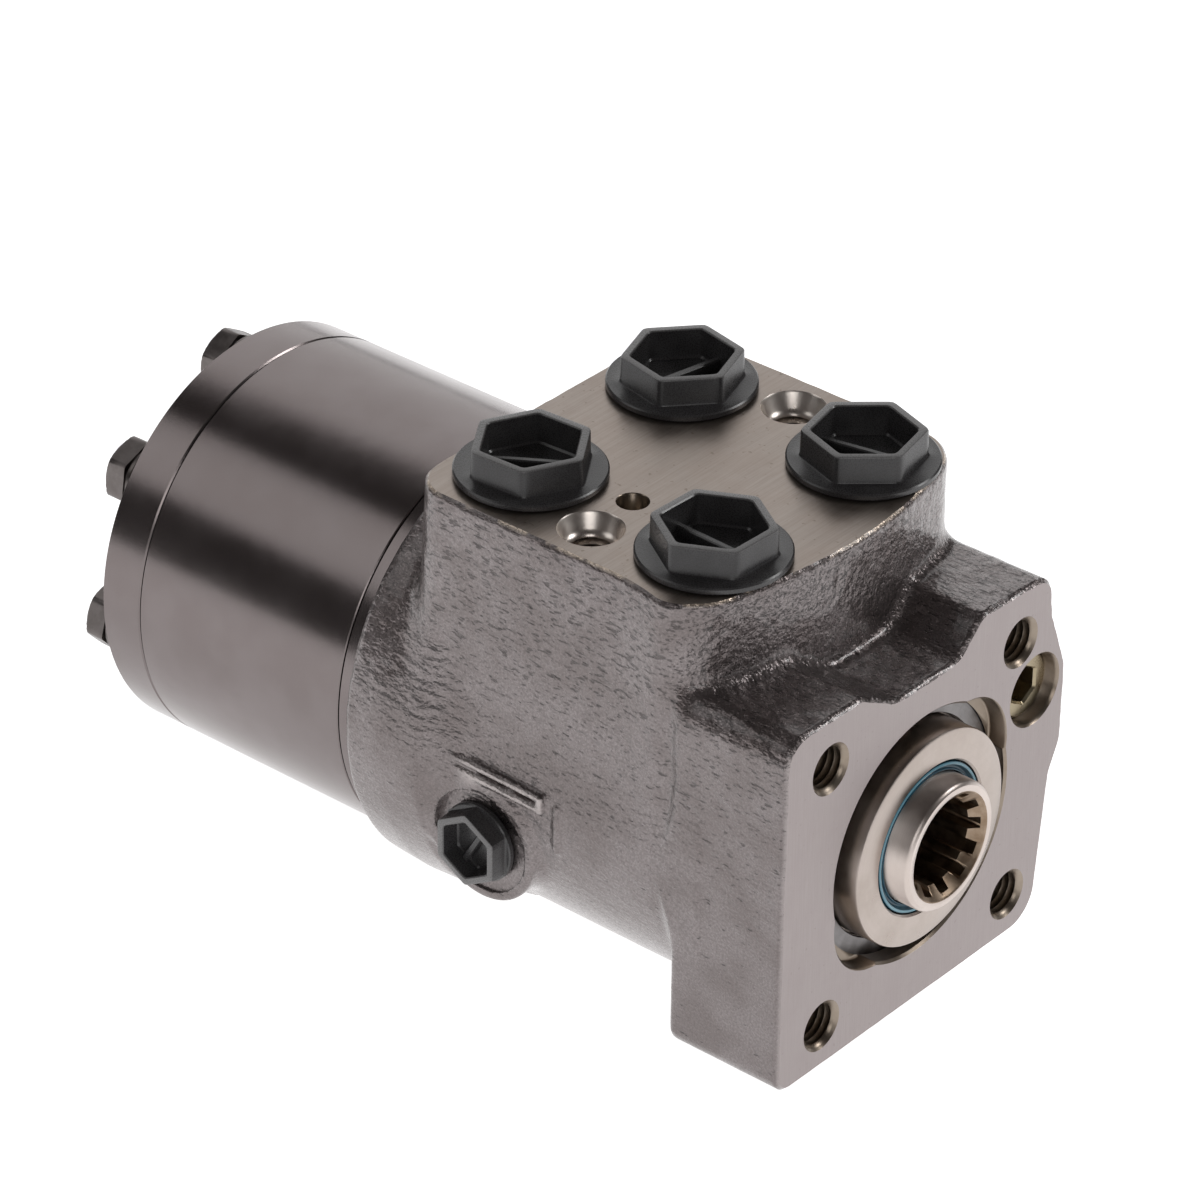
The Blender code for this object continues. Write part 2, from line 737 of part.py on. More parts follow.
def make_cardan_spacer():
    """A loose plug between the cover and the end of the cardan shaft, which it keeps from moving back."""
    rear, front, radius, chamfer = COVER_FRONT + 0.6, -136.0, 9.2, 0.8
    y, z = rotor_centre()
    profile = [
        (rear, 0),
        (rear, radius - chamfer),
        (rear + chamfer, radius),
        (front - chamfer, radius),
        (front, radius - chamfer),
        (front, 0),
    ]
    finish(turned("cardan_spacer", profile, (0, y, z), 24), "steel")


def flat_ring(name, rear, front, inner, outer):
    return turned(name, [(rear, inner), (front, inner), (front, outer), (rear, outer)])


def make_thrust_bearing():
    """A flat cage of needles between two washers, around the sleeve's front end."""
    finish(flat_ring("thrust_washer_front", -13.5, -12.8, 14.0, 24.2), "steel")
    finish(flat_ring("thrust_washer_rear", -17.3, -16.3, 14.0, 24.2), "steel")
    cage = flat_ring("thrust_needle_cage", THRUST_X - 0.5, THRUST_X + 0.5, 15.0, 23.6)
    needles = []
    for k in range(THRUST_NEEDLES):
        angle = 2 * math.pi * k / THRUST_NEEDLES
        inner, outer = polar(16.2, angle), polar(22.6, angle)
        needles.append(rod("needle", 1.0, (THRUST_X, *inner), (THRUST_X, *outer), 6))
    finish(join(cage, *needles), "bronze")


# ---- gland ------------------------------------------------------------------------------------------


def make_gland():
    seal_seat, groove = 15.9, 16.9
    gland = turned(
        "gland_bushing",
        [
            (GLAND_PROUD, seal_seat),
            (GLAND_PROUD, GLAND_RADIUS - 0.5),
            (GLAND_PROUD - 0.5, GLAND_RADIUS),
            (-RECESS_DEPTH, GLAND_RADIUS),
            (-RECESS_DEPTH - GAP, 25.5),
            (-8.2, 25.5),
            (-8.2, 23.6),
            (-10.4, 23.6),
            (-10.4, 25.5),
            (GLAND_REAR, 25.5),
            (GLAND_REAR, 13.9),
            (-5.4, 13.9),
            (-5.4, groove),
            (-2.4, groove),
            (-2.4, 13.9),
            (-1.2, 13.9),
            (-1.2, seal_seat),
        ],
    )
    finish(gland, "steel")
    dust_seal = turned(
        "dust_seal",
        [(-0.9, 13.8), (-0.9, 15.6), (1.6, 15.6), (2.1, 15.1), (1.2, 14.6), (1.7, 13.8)],
        segments=32,
    )
    finish(dust_seal, "blue_rubber")
    lips = [(-5.1, 13.8), (-5.1, 16.6), (-2.7, 16.6), (-2.7, 13.8), (-3.9, 14.3)]
    finish(turned("shaft_seal", lips), "black_rubber")
    finish(turned("gland_o_ring", circle(0.75, (-9.3, 24.7), 6)), "black_rubber")
    ring = flat_ring("retaining_ring", -5.7, -4.4, 23.0, 28.0)
    gap = box("ring_gap", (-7, -3.5, 18), (-3, 3.5, 32))
    finish(cut(ring, gap), "spring")


# ---- relief, check and side port --------------------------------------------------------------------


def helix(name, radius, wire, start, end, turns, at, points_per_turn=8):
    curve = bpy.data.curves.new(name, "CURVE")
    curve.dimensions = "3D"
    curve.bevel_depth = wire * MM
    curve.bevel_resolution = 1
    curve.use_fill_caps = True
    spline = curve.splines.new("POLY")
    count = turns * points_per_turn
    spline.points.add(count)
    for k, point in enumerate(spline.points):
        angle = 2 * math.pi * k / points_per_turn
        y, z = polar(radius, angle)
        point.co = ((start + (end - start) * k / count) * MM, y * MM, z * MM, 1)
    return made_mesh(place(bpy.data.objects.new(name, curve), at), name)


def make_relief_valve():
    at = (0, RELIEF_Y, RELIEF_Z)
    outline = [(-2.6, 0), (-2.6, 6.4), (-3.2, 7.0), (-13, 7.0), (-13, 4.4), (-18, 4.4), (-18, 0)]
    plug = turned("relief_plug", outline, at, 24)
    socket = extruded("hex_socket", [hexagon(7.0, phase=math.pi / 2)], -9, -1, at)
    finish(cut(plug, socket), "bronze")
    crush_ring = [(-15.7, 4.7), (-13.3, 4.7), (-13.3, 6.9), (-15.7, 6.9)]
    finish(turned("relief_plug_seal", crush_ring, at, 24), "copper")
    finish(helix("relief_spring", 3.4, 0.55, -19.0, -32.7, 5, at), "spring")
    stem = [(-27, 0), (-27, 2.0), (-33.6, 2.0)]
    head = [(-33.6, 4.6), (-36, 4.6), (-36, 2.9), (-39.8, 0.8), (-39.8, 0)]
    finish(turned("relief_poppet", stem + head, at, 20), "hardened")
    seat = [(-38.2, 3.0), (-38.2, 4.9), (-41.7, 4.9), (-41.7, 1.6), (-40.2, 1.6)]
    finish(turned("relief_seat", seat, at, 20), "hardened")


def make_check_valve():
    x, y = port_places()[1]
    wall = [(36.8, 3.4), (36.8, 7.2), (41.1, 7.2), (41.1, 3.4)]
    finish(turned("check_valve_bushing", wall, (x, y, 0), 20, UPRIGHT), "bronze")
    bm = bmesh.new()
    bmesh.ops.create_icosphere(bm, subdivisions=2, radius=4.25 * MM)
    finish(mesh_object("check_ball", bm, (x, y, 31.95)), "steel")


def threaded_cap(name, at, turn, phase, flange, disc, across, height, wall, shank):
    """A blanking cap: flange disc, hollow hexagon with a bar across its floor, and a hollow shank."""
    depth, floor, bar, top = shank - 1, disc - 0.6, 1.4, disc + height
    outline = [(-depth, 0), (-depth, shank), (0, shank), (0, flange)]
    outline += [(disc - 0.5, flange), (disc, flange - 0.5), (disc, 0)]
    cap = turned(name, outline, at, 20, turn)
    body = extruded("cap_hexagon", [hexagon(across, phase=phase)], disc - 0.5, top, at, turn)
    inside = hexagon(across - 2 * wall, phase=phase)
    hollow = extruded("cap_hollow", [inside], floor, top + 1, at, turn)
    width = across / 2 - wall + 0.2
    turn_by = Matrix.Rotation(phase + math.pi / 6, 2)
    corners = [(-width, -bar / 2), (width, -bar / 2), (width, bar / 2), (-width, bar / 2)]
    rib = [tuple(turn_by @ Vector(corner)) for corner in corners]
    rib = extruded("cap_bar", [rib], floor - 0.2, floor + height * 0.36, at, turn)
    inner = shank - 2
    hole = [(-depth - 1, 0), (-depth - 1, inner), (-1.2, inner), (-1.2, 0)]
    core = turned("cap_core", hole, at, 12, turn)
    join(cap, body)
    cut(cap, hollow, core)
    join(cap, rib)
    finish(cap, "black_plastic")


def make_port_caps():
    for number, ((x, y), phase) in enumerate(zip(port_places(), CAP_PHASES), 1):
        at = (x, y, PORT_FACE + GAP)
        name = f"port_cap_{number}"
        threaded_cap(name, at, UPRIGHT, math.radians(phase), 15.0, 1.4, 21.7, 5.7, 1.9, 10.0)
    outward = Matrix.Rotation(math.pi / 2, 3, "X").to_euler()
    at = (SIDE_PORT_X, SIDE_PORT_FACE + 0.6 - GAP, SIDE_PORT_Z)
    threaded_cap("side_port_cap", at, outward, math.radians(SIDE_CAP_PHASE), 8.4, 1.4, 14.4, 3.7, 1.7, 6.2)


def main():
    clear_scene()
    make_housing()
    make_gear_stack()
    make_stack_bolts()
    make_stack_seals()
    make_sleeve()
    make_spool()
    make_cross_pin()
    make_centring_springs()
    make_cardan()
    make_cardan_spacer()
    make_thrust_bearing()
    make_gland()
    make_relief_valve()
    make_check_valve()
    make_port_caps()


main()
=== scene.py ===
"""Looks of the hydrostatic steering unit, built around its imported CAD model.

Sizes are in millimetres in the flange frame: X runs along the shaft with 0 at the mounting flange's front
face and + towards the steering column, Y is across, Z is up, and the shaft axis is Y = Z = 0.
"""

import json
import math

import bmesh
import bpy
import numpy as np
from mathutils import Matrix, Vector


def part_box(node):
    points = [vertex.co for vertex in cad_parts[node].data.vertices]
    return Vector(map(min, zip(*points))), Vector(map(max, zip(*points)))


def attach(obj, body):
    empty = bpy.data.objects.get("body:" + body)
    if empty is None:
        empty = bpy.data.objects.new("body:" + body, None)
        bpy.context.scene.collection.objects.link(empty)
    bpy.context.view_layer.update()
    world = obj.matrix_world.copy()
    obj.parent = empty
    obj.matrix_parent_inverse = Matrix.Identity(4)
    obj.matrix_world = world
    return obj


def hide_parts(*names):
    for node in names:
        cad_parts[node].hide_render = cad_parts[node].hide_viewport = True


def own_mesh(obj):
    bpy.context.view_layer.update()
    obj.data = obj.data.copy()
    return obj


MM = 0.001
GAP = 0.3  # kept between pieces that touch
HOUSING_BODY = "housing_body"

# Casting
FLANGE_THICK = 27.0
FLANGE_SIDE = 42.5
FLANGE_BOTTOM = -38.8
FLANGE_TOP = 40.4
PORT_FACE = 58.7
BLOCK_FRONT = -17.0
BLOCK_FRONT_CROWN = 200.0  # the front wall falls back by y * y / this
BLOCK_REAR = -97.0
BLOCK_REAR_LEAN = 1.5
BLOCK_HALF_WIDTH = 42.0
BLOCK_TOP_HALF_WIDTH = 40.0
BLOCK_FRONT_CORNER, BLOCK_REAR_CORNER = 11.0, 9.0  # radii of the upright corners
FLARE_START, FLARE_LENGTH = -44.0, 18.0  # the left wall spreads here to the flange's width
BODY_RADIUS = 42.8
BODY_REAR, BODY_FRONT = -100.0, -22.0
COLLAR = ((-108.0, 44.6), (-105.2, 46.7), (-97.0, 47.2), (-88.0, 46.8), (-79.0, 41.5))  # (x, radius)
HOUSING_REAR = -106.4
RELIEF_BOSS_RADIUS = 9.6
RELIEF_BOSS_REAR, RELIEF_BOSS_FRONT = -44.0, -12.0
SIDE_BOSS_RADIUS = 13.2
SIDE_BOSS_ROOT = -20.0
RIDGE_Y, RIDGE_Z = -43.1, 2.6  # middle of the hairpin ridge on the left wall, at its front end
RIDGE_REAR, RIDGE_FRONT = -86.0, -58.6
RIDGE_RISE = 0.8  # how much higher its two bars are at the rear
RIDGE_HALF_GAP = 1.25
RIDGE_RADIUS = 0.95
RIB_FOOT, RIB_HEAD, RIB_RADIUS = (-55.0, -42.6, -7.0), (-55.0, -42.5, 3.0), 0.7  # upright, in front of it
GRID = 0.7  # spacing of the cast skin's mesh
SEGMENTS = 96  # points round a circle or hexagon, unless a call gives its own
SKIN_LOW, SKIN_HIGH = (-111.0, -50.0, -50.0), (4.0, 50.0, 64.0)
EDGE_CHAMFER = 0.7

# Machining
RECESS_RADIUS = 26.5
NOTCH_RADIUS = 14.8
NOTCH_OFFSET = 14.6  # from the shaft axis to a notch's centre
NOTCH_BEARINGS = (38, 218)
BORE_RADIUS = 20.05
FLANGE_HOLE_PLACE = 82.5 / math.sqrt(2) / 2
RELIEF_Y, RELIEF_Z = 34.7, 15.8
PLUG_FRONT = -2.6
PLUG_ACROSS_FLATS = 7.0
PLUG_PITCH = 1.5
SIDE_PORT_X, SIDE_PORT_Z = -73.7, -12.4
SIDE_PORT_FACE = -43.2
SPOTFACE_RADIUS = 11.2
PORT_CENTRE_X = -56.7
PORT_HALF_SPACING = 22.5
PORT_BOLT_X, PORT_BOLT_Y = -57.5, 30.3
PIN_HOLE_X, PIN_HOLE_Y = -58.0, -17.6
COUNTERBORE_RADIUS, COUNTERBORE_DEPTH = 6.55, 3.2

# Gear stack
STACK_CORE_RADIUS = 43.2  # inside this the CAD nodes' own holes are kept
COVER_SCREWS = 7
SCREW_ACROSS_FLATS = 13.0
SCREW_SHANK = 4.0

# Spool
SPLINE_TEETH = 12
SPLINE_TIP, SPLINE_ROOT = 10.6, 8.2
SPOOL_MOUTH_RADIUS = 11.45  # what is nearer the shaft axis is inside the spool's mouth

# Caps
PORT_CAP = {"disc_radius": 15.0, "disc": 1.4, "across": 21.7, "height": 5.7, "wall": 1.9, "shank": 10.0}
SIDE_CAP = {"disc_radius": 8.4, "disc": 1.4, "across": 14.4, "height": 3.7, "wall": 1.7, "shank": 6.2}
CAP_PHASES = {"port_cap_1": 3.3, "port_cap_2": 48.3, "port_cap_3": -32.1, "port_cap_4": -18.3}
SIDE_CAP_PHASE = 30.0  # like the others, how far the cap is screwed round, in degrees
CAP_RIM = 66.1
SIDE_CAP_RIM = -48.0

# Softboxes: bearing and elevation in degrees, distance, width and height in metres, and brightness
SOFTBOXES = {
    "back_softbox": (140, 28, 2.0, 2.2, 1.9, 1.05),
    "left_softbox": (221, 39, 2.0, 1.0, 0.95, 1.0),
    "front_fill": (315, 22, 2.2, 1.2, 0.9, 2.0),
    "right_softbox": (50, 36, 2.0, 0.6, 0.45, 9.0),
}
WORLD_COLOUR = (0.050, 0.046, 0.045, 1)
FLOOR_COLOUR = (0.85, 0.85, 0.86, 1)
FLOOR_GLOW = 0.95

# Camera, aimed at a point in the flange frame
CAMERA_AIM = (-62.1, -22.0, 37.2)
CAMERA_DISTANCE = 1109.9
CAMERA_HEADING = 129.98
CAMERA_ELEVATION = 31.78
CAMERA_ROLL = 0.69
CAMERA_LENS = 174.9

# Local X, Y and Z of a piece made upright, laid along the shaft: they become Y, Z and X
ALONG_SHAFT = Matrix(((0, 0, 1), (1, 0, 0), (0, 1, 0)))
UPRIGHT = Matrix.Identity(3)
OUT_OF_SIDE = Matrix.Rotation(math.pi / 2, 3, "X")

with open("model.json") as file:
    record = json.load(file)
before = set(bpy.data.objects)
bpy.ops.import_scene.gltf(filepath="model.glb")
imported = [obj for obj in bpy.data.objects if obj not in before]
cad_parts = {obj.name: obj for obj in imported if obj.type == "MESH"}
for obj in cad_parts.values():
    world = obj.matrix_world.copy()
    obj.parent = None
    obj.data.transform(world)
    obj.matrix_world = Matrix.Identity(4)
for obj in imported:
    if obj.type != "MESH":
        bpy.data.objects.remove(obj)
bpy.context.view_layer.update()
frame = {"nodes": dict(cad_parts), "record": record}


def flange_origin():
    """Where the shaft axis meets the flange's front face, in the row frame."""
    low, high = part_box("gerotor_ring")
    middle = (low + high) / 2
    return Vector((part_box("housing")[1].x, middle.y, middle.z))


ORIGIN = flange_origin()
TO_ROW = Matrix.Translation(ORIGIN) @ Matrix.Scale(MM, 4)


def span(node):
    """Lowest and highest corner of a CAD node in the flange frame."""
    low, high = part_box(node)
    return (low - ORIGIN) / MM, (high - ORIGIN) / MM


def middle_of(node):
    low, high = span(node)
    return (low + high) / 2


# ---- shapes -----------------------------------------------------------------------------------------


def linked(name, data):
    """A new object of that data, in the scene."""
    obj = bpy.data.objects.new(name, data)
    bpy.context.scene.collection.objects.link(obj)
    return obj


def shape(vertices, faces):
    mesh = bpy.data.meshes.new("shape")
    mesh.from_pydata(vertices, [], faces)
    return linked("shape", mesh)


def placed(obj, at=(0, 0, 0), turn=UPRIGHT):
    """Turns and moves a shape, and points its faces outwards."""
    obj.data.transform(Matrix.Translation(Vector(at)) @ turn.to_4x4())
    bm = bmesh.new()
    bm.from_mesh(obj.data)
    bmesh.ops.recalc_face_normals(bm, faces=bm.faces)
    bm.to_mesh(obj.data)
    bm.free()
    return obj


def joined(rings, closed=False):
    """Joins rings of equal counts of points; the ends are filled unless it closes on itself."""
    count = len(rings[0])
    faces = []
    for level in range(len(rings) if closed else len(rings) - 1):
        low, high = level * count, (level + 1) % len(rings) * count
        for k in range(count):
            following = (k + 1) % count
            faces.append((low + k, low + following, high + following, high + k))
    if not closed:
        faces.append(tuple(range(count)))
        faces.append(tuple(range((len(rings) - 1) * count, len(rings) * count)))
    return shape([point for ring in rings for point in ring], faces)


def loft(loops, at=(0, 0, 0), turn=UPRIGHT, closed=False):
    """Joins (height, points) loops and puts the result in place."""
    rings = [[(u, v, height) for u, v in points] for height, points in loops]
    return placed(joined(rings, closed), at, turn)


def angles(count):
    return 2 * math.pi * np.arange(count) / count


def circle(radius, segments=SEGMENTS):
    turn = angles(segments)
    return list(zip(radius * np.cos(turn), radius * np.sin(turn)))


def hexagon_radius(turn, across_flats, phase, sharpness=40):
    """Distance from centre to edge of a hexagon with soft corners, one of them at the phase angle."""
    total = sum(
        np.maximum(np.cos(turn - phase - math.radians(30 + 60 * side)), 0) ** sharpness for side in range(6)
    )
    return across_flats / 2 / total ** (1 / sharpness)


def hexagon(across_flats, phase, within=math.inf):
    """A hexagon with soft corners, kept inside a circle."""
    turn = angles(SEGMENTS)
    radius = np.minimum(hexagon_radius(turn, across_flats, phase), within)
    return list(zip(radius * np.cos(turn), radius * np.sin(turn)))


def turned(profile, at=(0, 0, 0), segments=SEGMENTS, turn=ALONG_SHAFT):
    """Turns a closed (along, radius) outline that stays off the axis, or that starts and ends on it."""
    on_axis = profile[0][1] == 0
    rings = profile[1:-1] if on_axis else profile
    return loft([(along, circle(radius, segments)) for along, radius in rings], at, turn, not on_axis)


def rod(radius, start, end, segments=64):
    """A cylinder between two points."""
    start, end = Vector(start), Vector(end)
    turn = Vector((0, 0, 1)).rotation_difference(end - start).to_matrix()
    loops = [(0, circle(radius, segments)), ((end - start).length, circle(radius, segments))]
    return loft(loops, start, turn)


def box(low, high):
    """A block between two corners."""
    (x0, y0, z0), (x1, y1, z1) = low, high
    base = [(x0, y0), (x1, y0), (x1, y1), (x0, y1)]
    return loft([(z0, base), (z1, base)])


def rounded(corners, step=math.radians(11)):
    """A closed outline from (u, v, radius) corners, with an arc at each."""
    outline = []
    for index, (u, v, radius) in enumerate(corners):
        here = Vector((u, v))
        back = (Vector(corners[index - 1][:2]) - here).normalized()
        ahead = (Vector(corners[(index + 1) % len(corners)][:2]) - here).normalized()
        half = back.angle(ahead) / 2
        centre = here + (back + ahead).normalized() * (radius / math.sin(half))
        first = here + back * (radius / math.tan(half)) - centre
        sweep = first.angle_signed(here + ahead * (radius / math.tan(half)) - centre)
        count = max(1, round(abs(sweep) / step))
        for k in range(count + 1):
            outline.append(tuple(centre + Matrix.Rotation(-sweep * k / count, 2) @ first))
    return outline


def combined(obj, other, operation):
    """Adds another shape to this one or takes it away, and uses the other one up."""
    modifier = obj.modifiers.new("combine", "BOOLEAN")
    modifier.operation = operation
    modifier.solver = "MANIFOLD"
    modifier.object = other
    bpy.context.view_layer.update()
    mesh = bpy.data.meshes.new_from_object(obj.evaluated_get(bpy.context.evaluated_depsgraph_get()))
    obj.modifiers.clear()
    obj.data = mesh
    bpy.data.objects.remove(other)
    return obj


def cut(obj, cutters):
    """Joins the cutters first, so that the large mesh is cut only once."""
    first, *others = cutters
    for other in others:
        combined(first, other, "UNION")
    return combined(obj, first, "DIFFERENCE")


def hollows(node, envelope):
    """What a CAD node leaves open inside an envelope, as a cutter."""
    mesh = frame["nodes"][node].data.copy()
    mesh.transform(TO_ROW.inverted())
    mesh.materials.clear()
    bm = bmesh.new()
    bm.from_mesh(mesh)
    bmesh.ops.remove_doubles(bm, verts=bm.verts, dist=1e-3)
    bm.to_mesh(mesh)
    bm.free()
    return combined(envelope, linked("solid", mesh), "DIFFERENCE")


def piece(obj, name, node, slot, body=HOUSING_BODY, materials=None, sharp=32):
    """Moves a finished shape into the row frame and puts it in place of a CAD node."""
    obj.name = obj.data.name = name
    obj.data.transform(TO_ROW)
    obj.data.materials.clear()
    for material in materials or [FINISHES[slot]]:
        obj.data.materials.append(material)
    obj.data.shade_smooth()
    obj.data.set_sharp_from_angle(angle=math.radians(sharp))
    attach(obj, body)
    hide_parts(node)
    return obj


# ---- materials --------------------------------------------------------------------------------------


class Paint:
    """A procedural material whose coordinates are millimetres in the flange frame."""

    def __init__(self, name, metallic=0.0, **finish):
        self.material = bpy.data.materials.new(name)
        self.material.use_nodes = True
        self.tree = self.material.node_tree
        self.shader = self.tree.nodes["Principled BSDF"]
        self.shader.inputs["Metallic"].default_value = metallic
        for socket, value in finish.items():
            self.shader.inputs[socket.replace("_", " ").title().replace("Ior", "IOR")].default_value = value
        position = self.add("ShaderNodeTexCoord").outputs["Object"]
        values = {"Vector": position, "Scale": (1 / MM,) * 3, "Location": -ORIGIN / MM}
        self.place = self.add("ShaderNodeMapping", values).outputs[0]

    def add(self, kind, values=(), **settings):
        node = self.tree.nodes.new(kind)
        for key, value in settings.items():
            setattr(node, key, value)
        for socket, value in dict(values).items():
            if isinstance(value, bpy.types.NodeSocket):
                self.tree.links.new(value, node.inputs[socket])
            else:
                node.inputs[socket].default_value = value
        return node

    def noise(self, size, stretch=(1, 1, 1), detail=3.0):
        """Noise with features of about that many millimetres, longer along an axis by its stretch."""
        scale = [1 / (size * s) for s in stretch]
        scaled = self.add("ShaderNodeVectorMath", {0: self.place, 1: scale}, operation="MULTIPLY").outputs[0]
        values = {"Vector": scaled, "Scale": 1.0, "Detail": detail, "Roughness": 0.55}
        return self.add("ShaderNodeTexNoise", values).outputs[0]

    def turning(self, size, centre=(0, 0, 0)):
        """Fine noise that runs round an axis parallel to the shaft, as a lathe leaves it."""
        local = self.add("ShaderNodeVectorMath", {0: self.place, 1: centre}, operation="SUBTRACT").outputs[0]
        parts = self.add("ShaderNodeSeparateXYZ", {0: local}).outputs
        across = self.add("ShaderNodeCombineXYZ", {1: parts[1], 2: parts[2]}).outputs[0]
        radius = self.add("ShaderNodeVectorMath", {0: across}, operation="LENGTH").outputs["Value"]
        along = self.add("ShaderNodeCombineXYZ", {0: parts[0], 1: radius}).outputs[0]
        values = {"Vector": along, "Scale": 1 / size, "Detail": 2.0}
        return self.add("ShaderNodeTexNoise", values, noise_dimensions="2D").outputs[0]

    def ramp(self, value, low, high, start=0.0, end=1.0):
        """Goes smoothly from start, where value is low, to end, where it is high."""
        values = {"Value": value, "From Min": low, "From Max": high, "To Min": start, "To Max": end}
        return self.add("ShaderNodeMapRange", values, interpolation_type="SMOOTHSTEP").outputs[0]

    def part(self, axis):
        """Place along X, Y or Z in millimetres."""
        return self.add("ShaderNodeSeparateXYZ", {0: self.place}).outputs["XYZ".index(axis)]

    def near(self, axis, level, reach):
        """1 at a level of X, Y or Z, and 0 from reach millimetres away."""
        offset = self.maths("ABSOLUTE", self.maths("SUBTRACT", self.part(axis), level))
        return self.ramp(offset, 0.0, reach, 1.0, 0.0)

    def maths(self, operation, a, b=0.0):
        return self.add("ShaderNodeMath", {0: a, 1: b}, operation=operation).outputs[0]

    def blend(self, share, first, second):
        """Mixes two colours, each a socket or three numbers."""
        first, second = (c if isinstance(c, bpy.types.NodeSocket) else (*c, 1.0) for c in (first, second))
        values = {"Factor": share, 6: first, 7: second}
        return self.add("ShaderNodeMix", values, data_type="RGBA").outputs[2]

    def bumps(self, *layers):
        """Adds surface relief from (height socket, depth in millimetres) layers."""
        normal = None
        for height, depth in layers:
            values = {"Height": height, "Distance": depth * MM, "Strength": 1.0}
            if normal:
                values["Normal"] = normal
            normal = self.add("ShaderNodeBump", values).outputs[0]
        self.tree.links.new(normal, self.shader.inputs["Normal"])

    def colour(self, socket):
        self.tree.links.new(socket, self.shader.inputs["Base Color"])

    def roughness(self, socket):
        self.tree.links.new(socket, self.shader.inputs["Roughness"])


def cast_iron():
    """Phosphated and oiled sand casting with peel, fine grain and short dark pits along the shaft. Peel
    and pits are stronger higher up. The port face's edge is lighter in rubbed patches, part wear and part
    painted highlight; painted highlights run along the flange face's edge and the ridge's outer face."""
    paint = Paint("oiled_cast_iron", 0.80, coat_weight=0.55, coat_roughness=0.13)
    patches = paint.noise(14, detail=2)
    peel_share = paint.ramp(paint.part("Z"), -24, 8, 0.3, 1.0)
    peel = paint.maths("MULTIPLY", paint.noise(1.5, (1.7, 1, 1), detail=2), peel_share)
    grain = paint.noise(0.5, detail=3)
    more_pits = paint.ramp(paint.part("Z"), -5, 50, -0.085, 0.03)
    pits = paint.maths("ADD", paint.noise(0.95, (2.2, 0.75, 0.75), detail=1), more_pits)
    pits = paint.ramp(pits, 0.60, 0.70)
    colour = paint.blend(paint.ramp(patches, 0.35, 0.65), (0.185, 0.156, 0.153), (0.240, 0.210, 0.209))
    colour = paint.blend(paint.ramp(grain, 0.3, 0.7, 0.0, 0.45), colour, (0.100, 0.083, 0.078))
    colour = paint.blend(paint.maths("MULTIPLY", pits, 0.6), colour, (0.030, 0.023, 0.022))
    # Lighter band along the port face's edge in rubbed patches: part wear, part painted highlight.
    port_edge_wear_and_highlight = paint.ramp(paint.noise(9, detail=2), 0.44, 0.52)
    port_edge_wear_and_highlight = paint.maths("MULTIPLY", port_edge_wear_and_highlight, paint.near("Z", PORT_FACE, EDGE_CHAMFER))
    colour = paint.blend(port_edge_wear_and_highlight, colour, (0.66, 0.55, 0.45))
    # Painted highlight on the outer face of the ridge's bars, in front of x = -80.
    crest = paint.maths("MULTIPLY", paint.near("Y", RIDGE_Y - RIDGE_RADIUS, 0.5), paint.near("Z", 3.0, 4.5))
    crest = paint.maths("MULTIPLY", crest, paint.ramp(paint.part("X"), -80, -76))
    colour = paint.blend(crest, colour, (0.44, 0.395, 0.385))
    # Painted highlight along the flange face's edge, in place of the light on its chamfer.
    flange_edge_highlight = paint.near("X", 0.0, EDGE_CHAMFER)
    paint.colour(paint.blend(flange_edge_highlight, colour, (0.30, 0.265, 0.26)))
    paint.roughness(paint.ramp(grain, 0.25, 0.75, 0.24, 0.40))
    sunk = paint.maths("SUBTRACT", 1.0, pits)
    paint.bumps((peel, 0.62), (grain, 0.08), (sunk, 0.08))
    return paint.material


def machined_face(name, dull, bright, roughness, direction, stain):
    """A milled face with cutter lines along one direction and faint oil stains."""
    paint = Paint(name, 0.85)
    stains = paint.noise(9, detail=4)
    lines = paint.noise(0.35, direction, detail=2)
    colour = paint.blend(paint.ramp(stains, 0.3, 0.7), dull, bright)
    colour = paint.blend(paint.ramp(lines, 0.2, 0.8, 0.0, 0.25), colour, stain)
    speck = paint.ramp(paint.noise(1.1, detail=1), 0.70, 0.76, 0.0, 0.5)
    paint.colour(paint.blend(speck, colour, stain))
    paint.roughness(paint.ramp(stains, 0.3, 0.7, roughness - 0.05, roughness + 0.06))
    paint.bumps((lines, 0.006), (paint.noise(2.2, detail=2), 0.012))
    return paint.material


def lathed(name, dark, light, roughness, metallic=1.0, centre=(0, 0, 0), depth=0.004, patch=8, uneven=0.06):
    """Turned metal: fine lines round the axis and soft patches of oil."""
    paint = Paint(name, metallic)
    lines = paint.turning(0.12, centre)
    patches = paint.noise(patch, detail=4)
    colour = paint.blend(paint.ramp(patches, 0.32, 0.68), dark, light)
    paint.colour(paint.blend(paint.ramp(lines, 0.2, 0.8, 0.0, 0.3), colour, dark))
    paint.roughness(paint.ramp(patches, 0.3, 0.7, roughness - uneven, roughness + uneven))
    paint.bumps((lines, depth), (paint.noise(3.0, detail=2), 0.012))
    return paint.material


def o_ring_rubber():
    """Black nitrile rubber with a fine matt grain."""
    paint = Paint("black_rubber")
    patches = paint.noise(5, detail=3)
    grain = paint.noise(0.25, detail=2)
    paint.colour(paint.blend(paint.ramp(patches, 0.3, 0.7), (0.014, 0.014, 0.014), (0.024, 0.023, 0.022)))
    paint.roughness(paint.ramp(grain, 0.3, 0.7, 0.55, 0.65))
    paint.bumps((grain, 0.008), (patches, 0.03))
    return paint.material


def seal_rubber():
    """Teal polyurethane, lighter along the tip of its lip."""
    paint = Paint("blue_seal")
    tip = paint.ramp(paint.part("X"), 1.8, 2.05)
    patches = paint.ramp(paint.noise(4, detail=3), 0.3, 0.7)
    colour = paint.blend(patches, (0.005, 0.045, 0.075), (0.012, 0.085, 0.130))
    paint.colour(paint.blend(tip, colour, (0.15, 0.34, 0.43)))
    paint.roughness(paint.ramp(tip, 0.0, 1.0, 0.42, 0.28))
    return paint.material


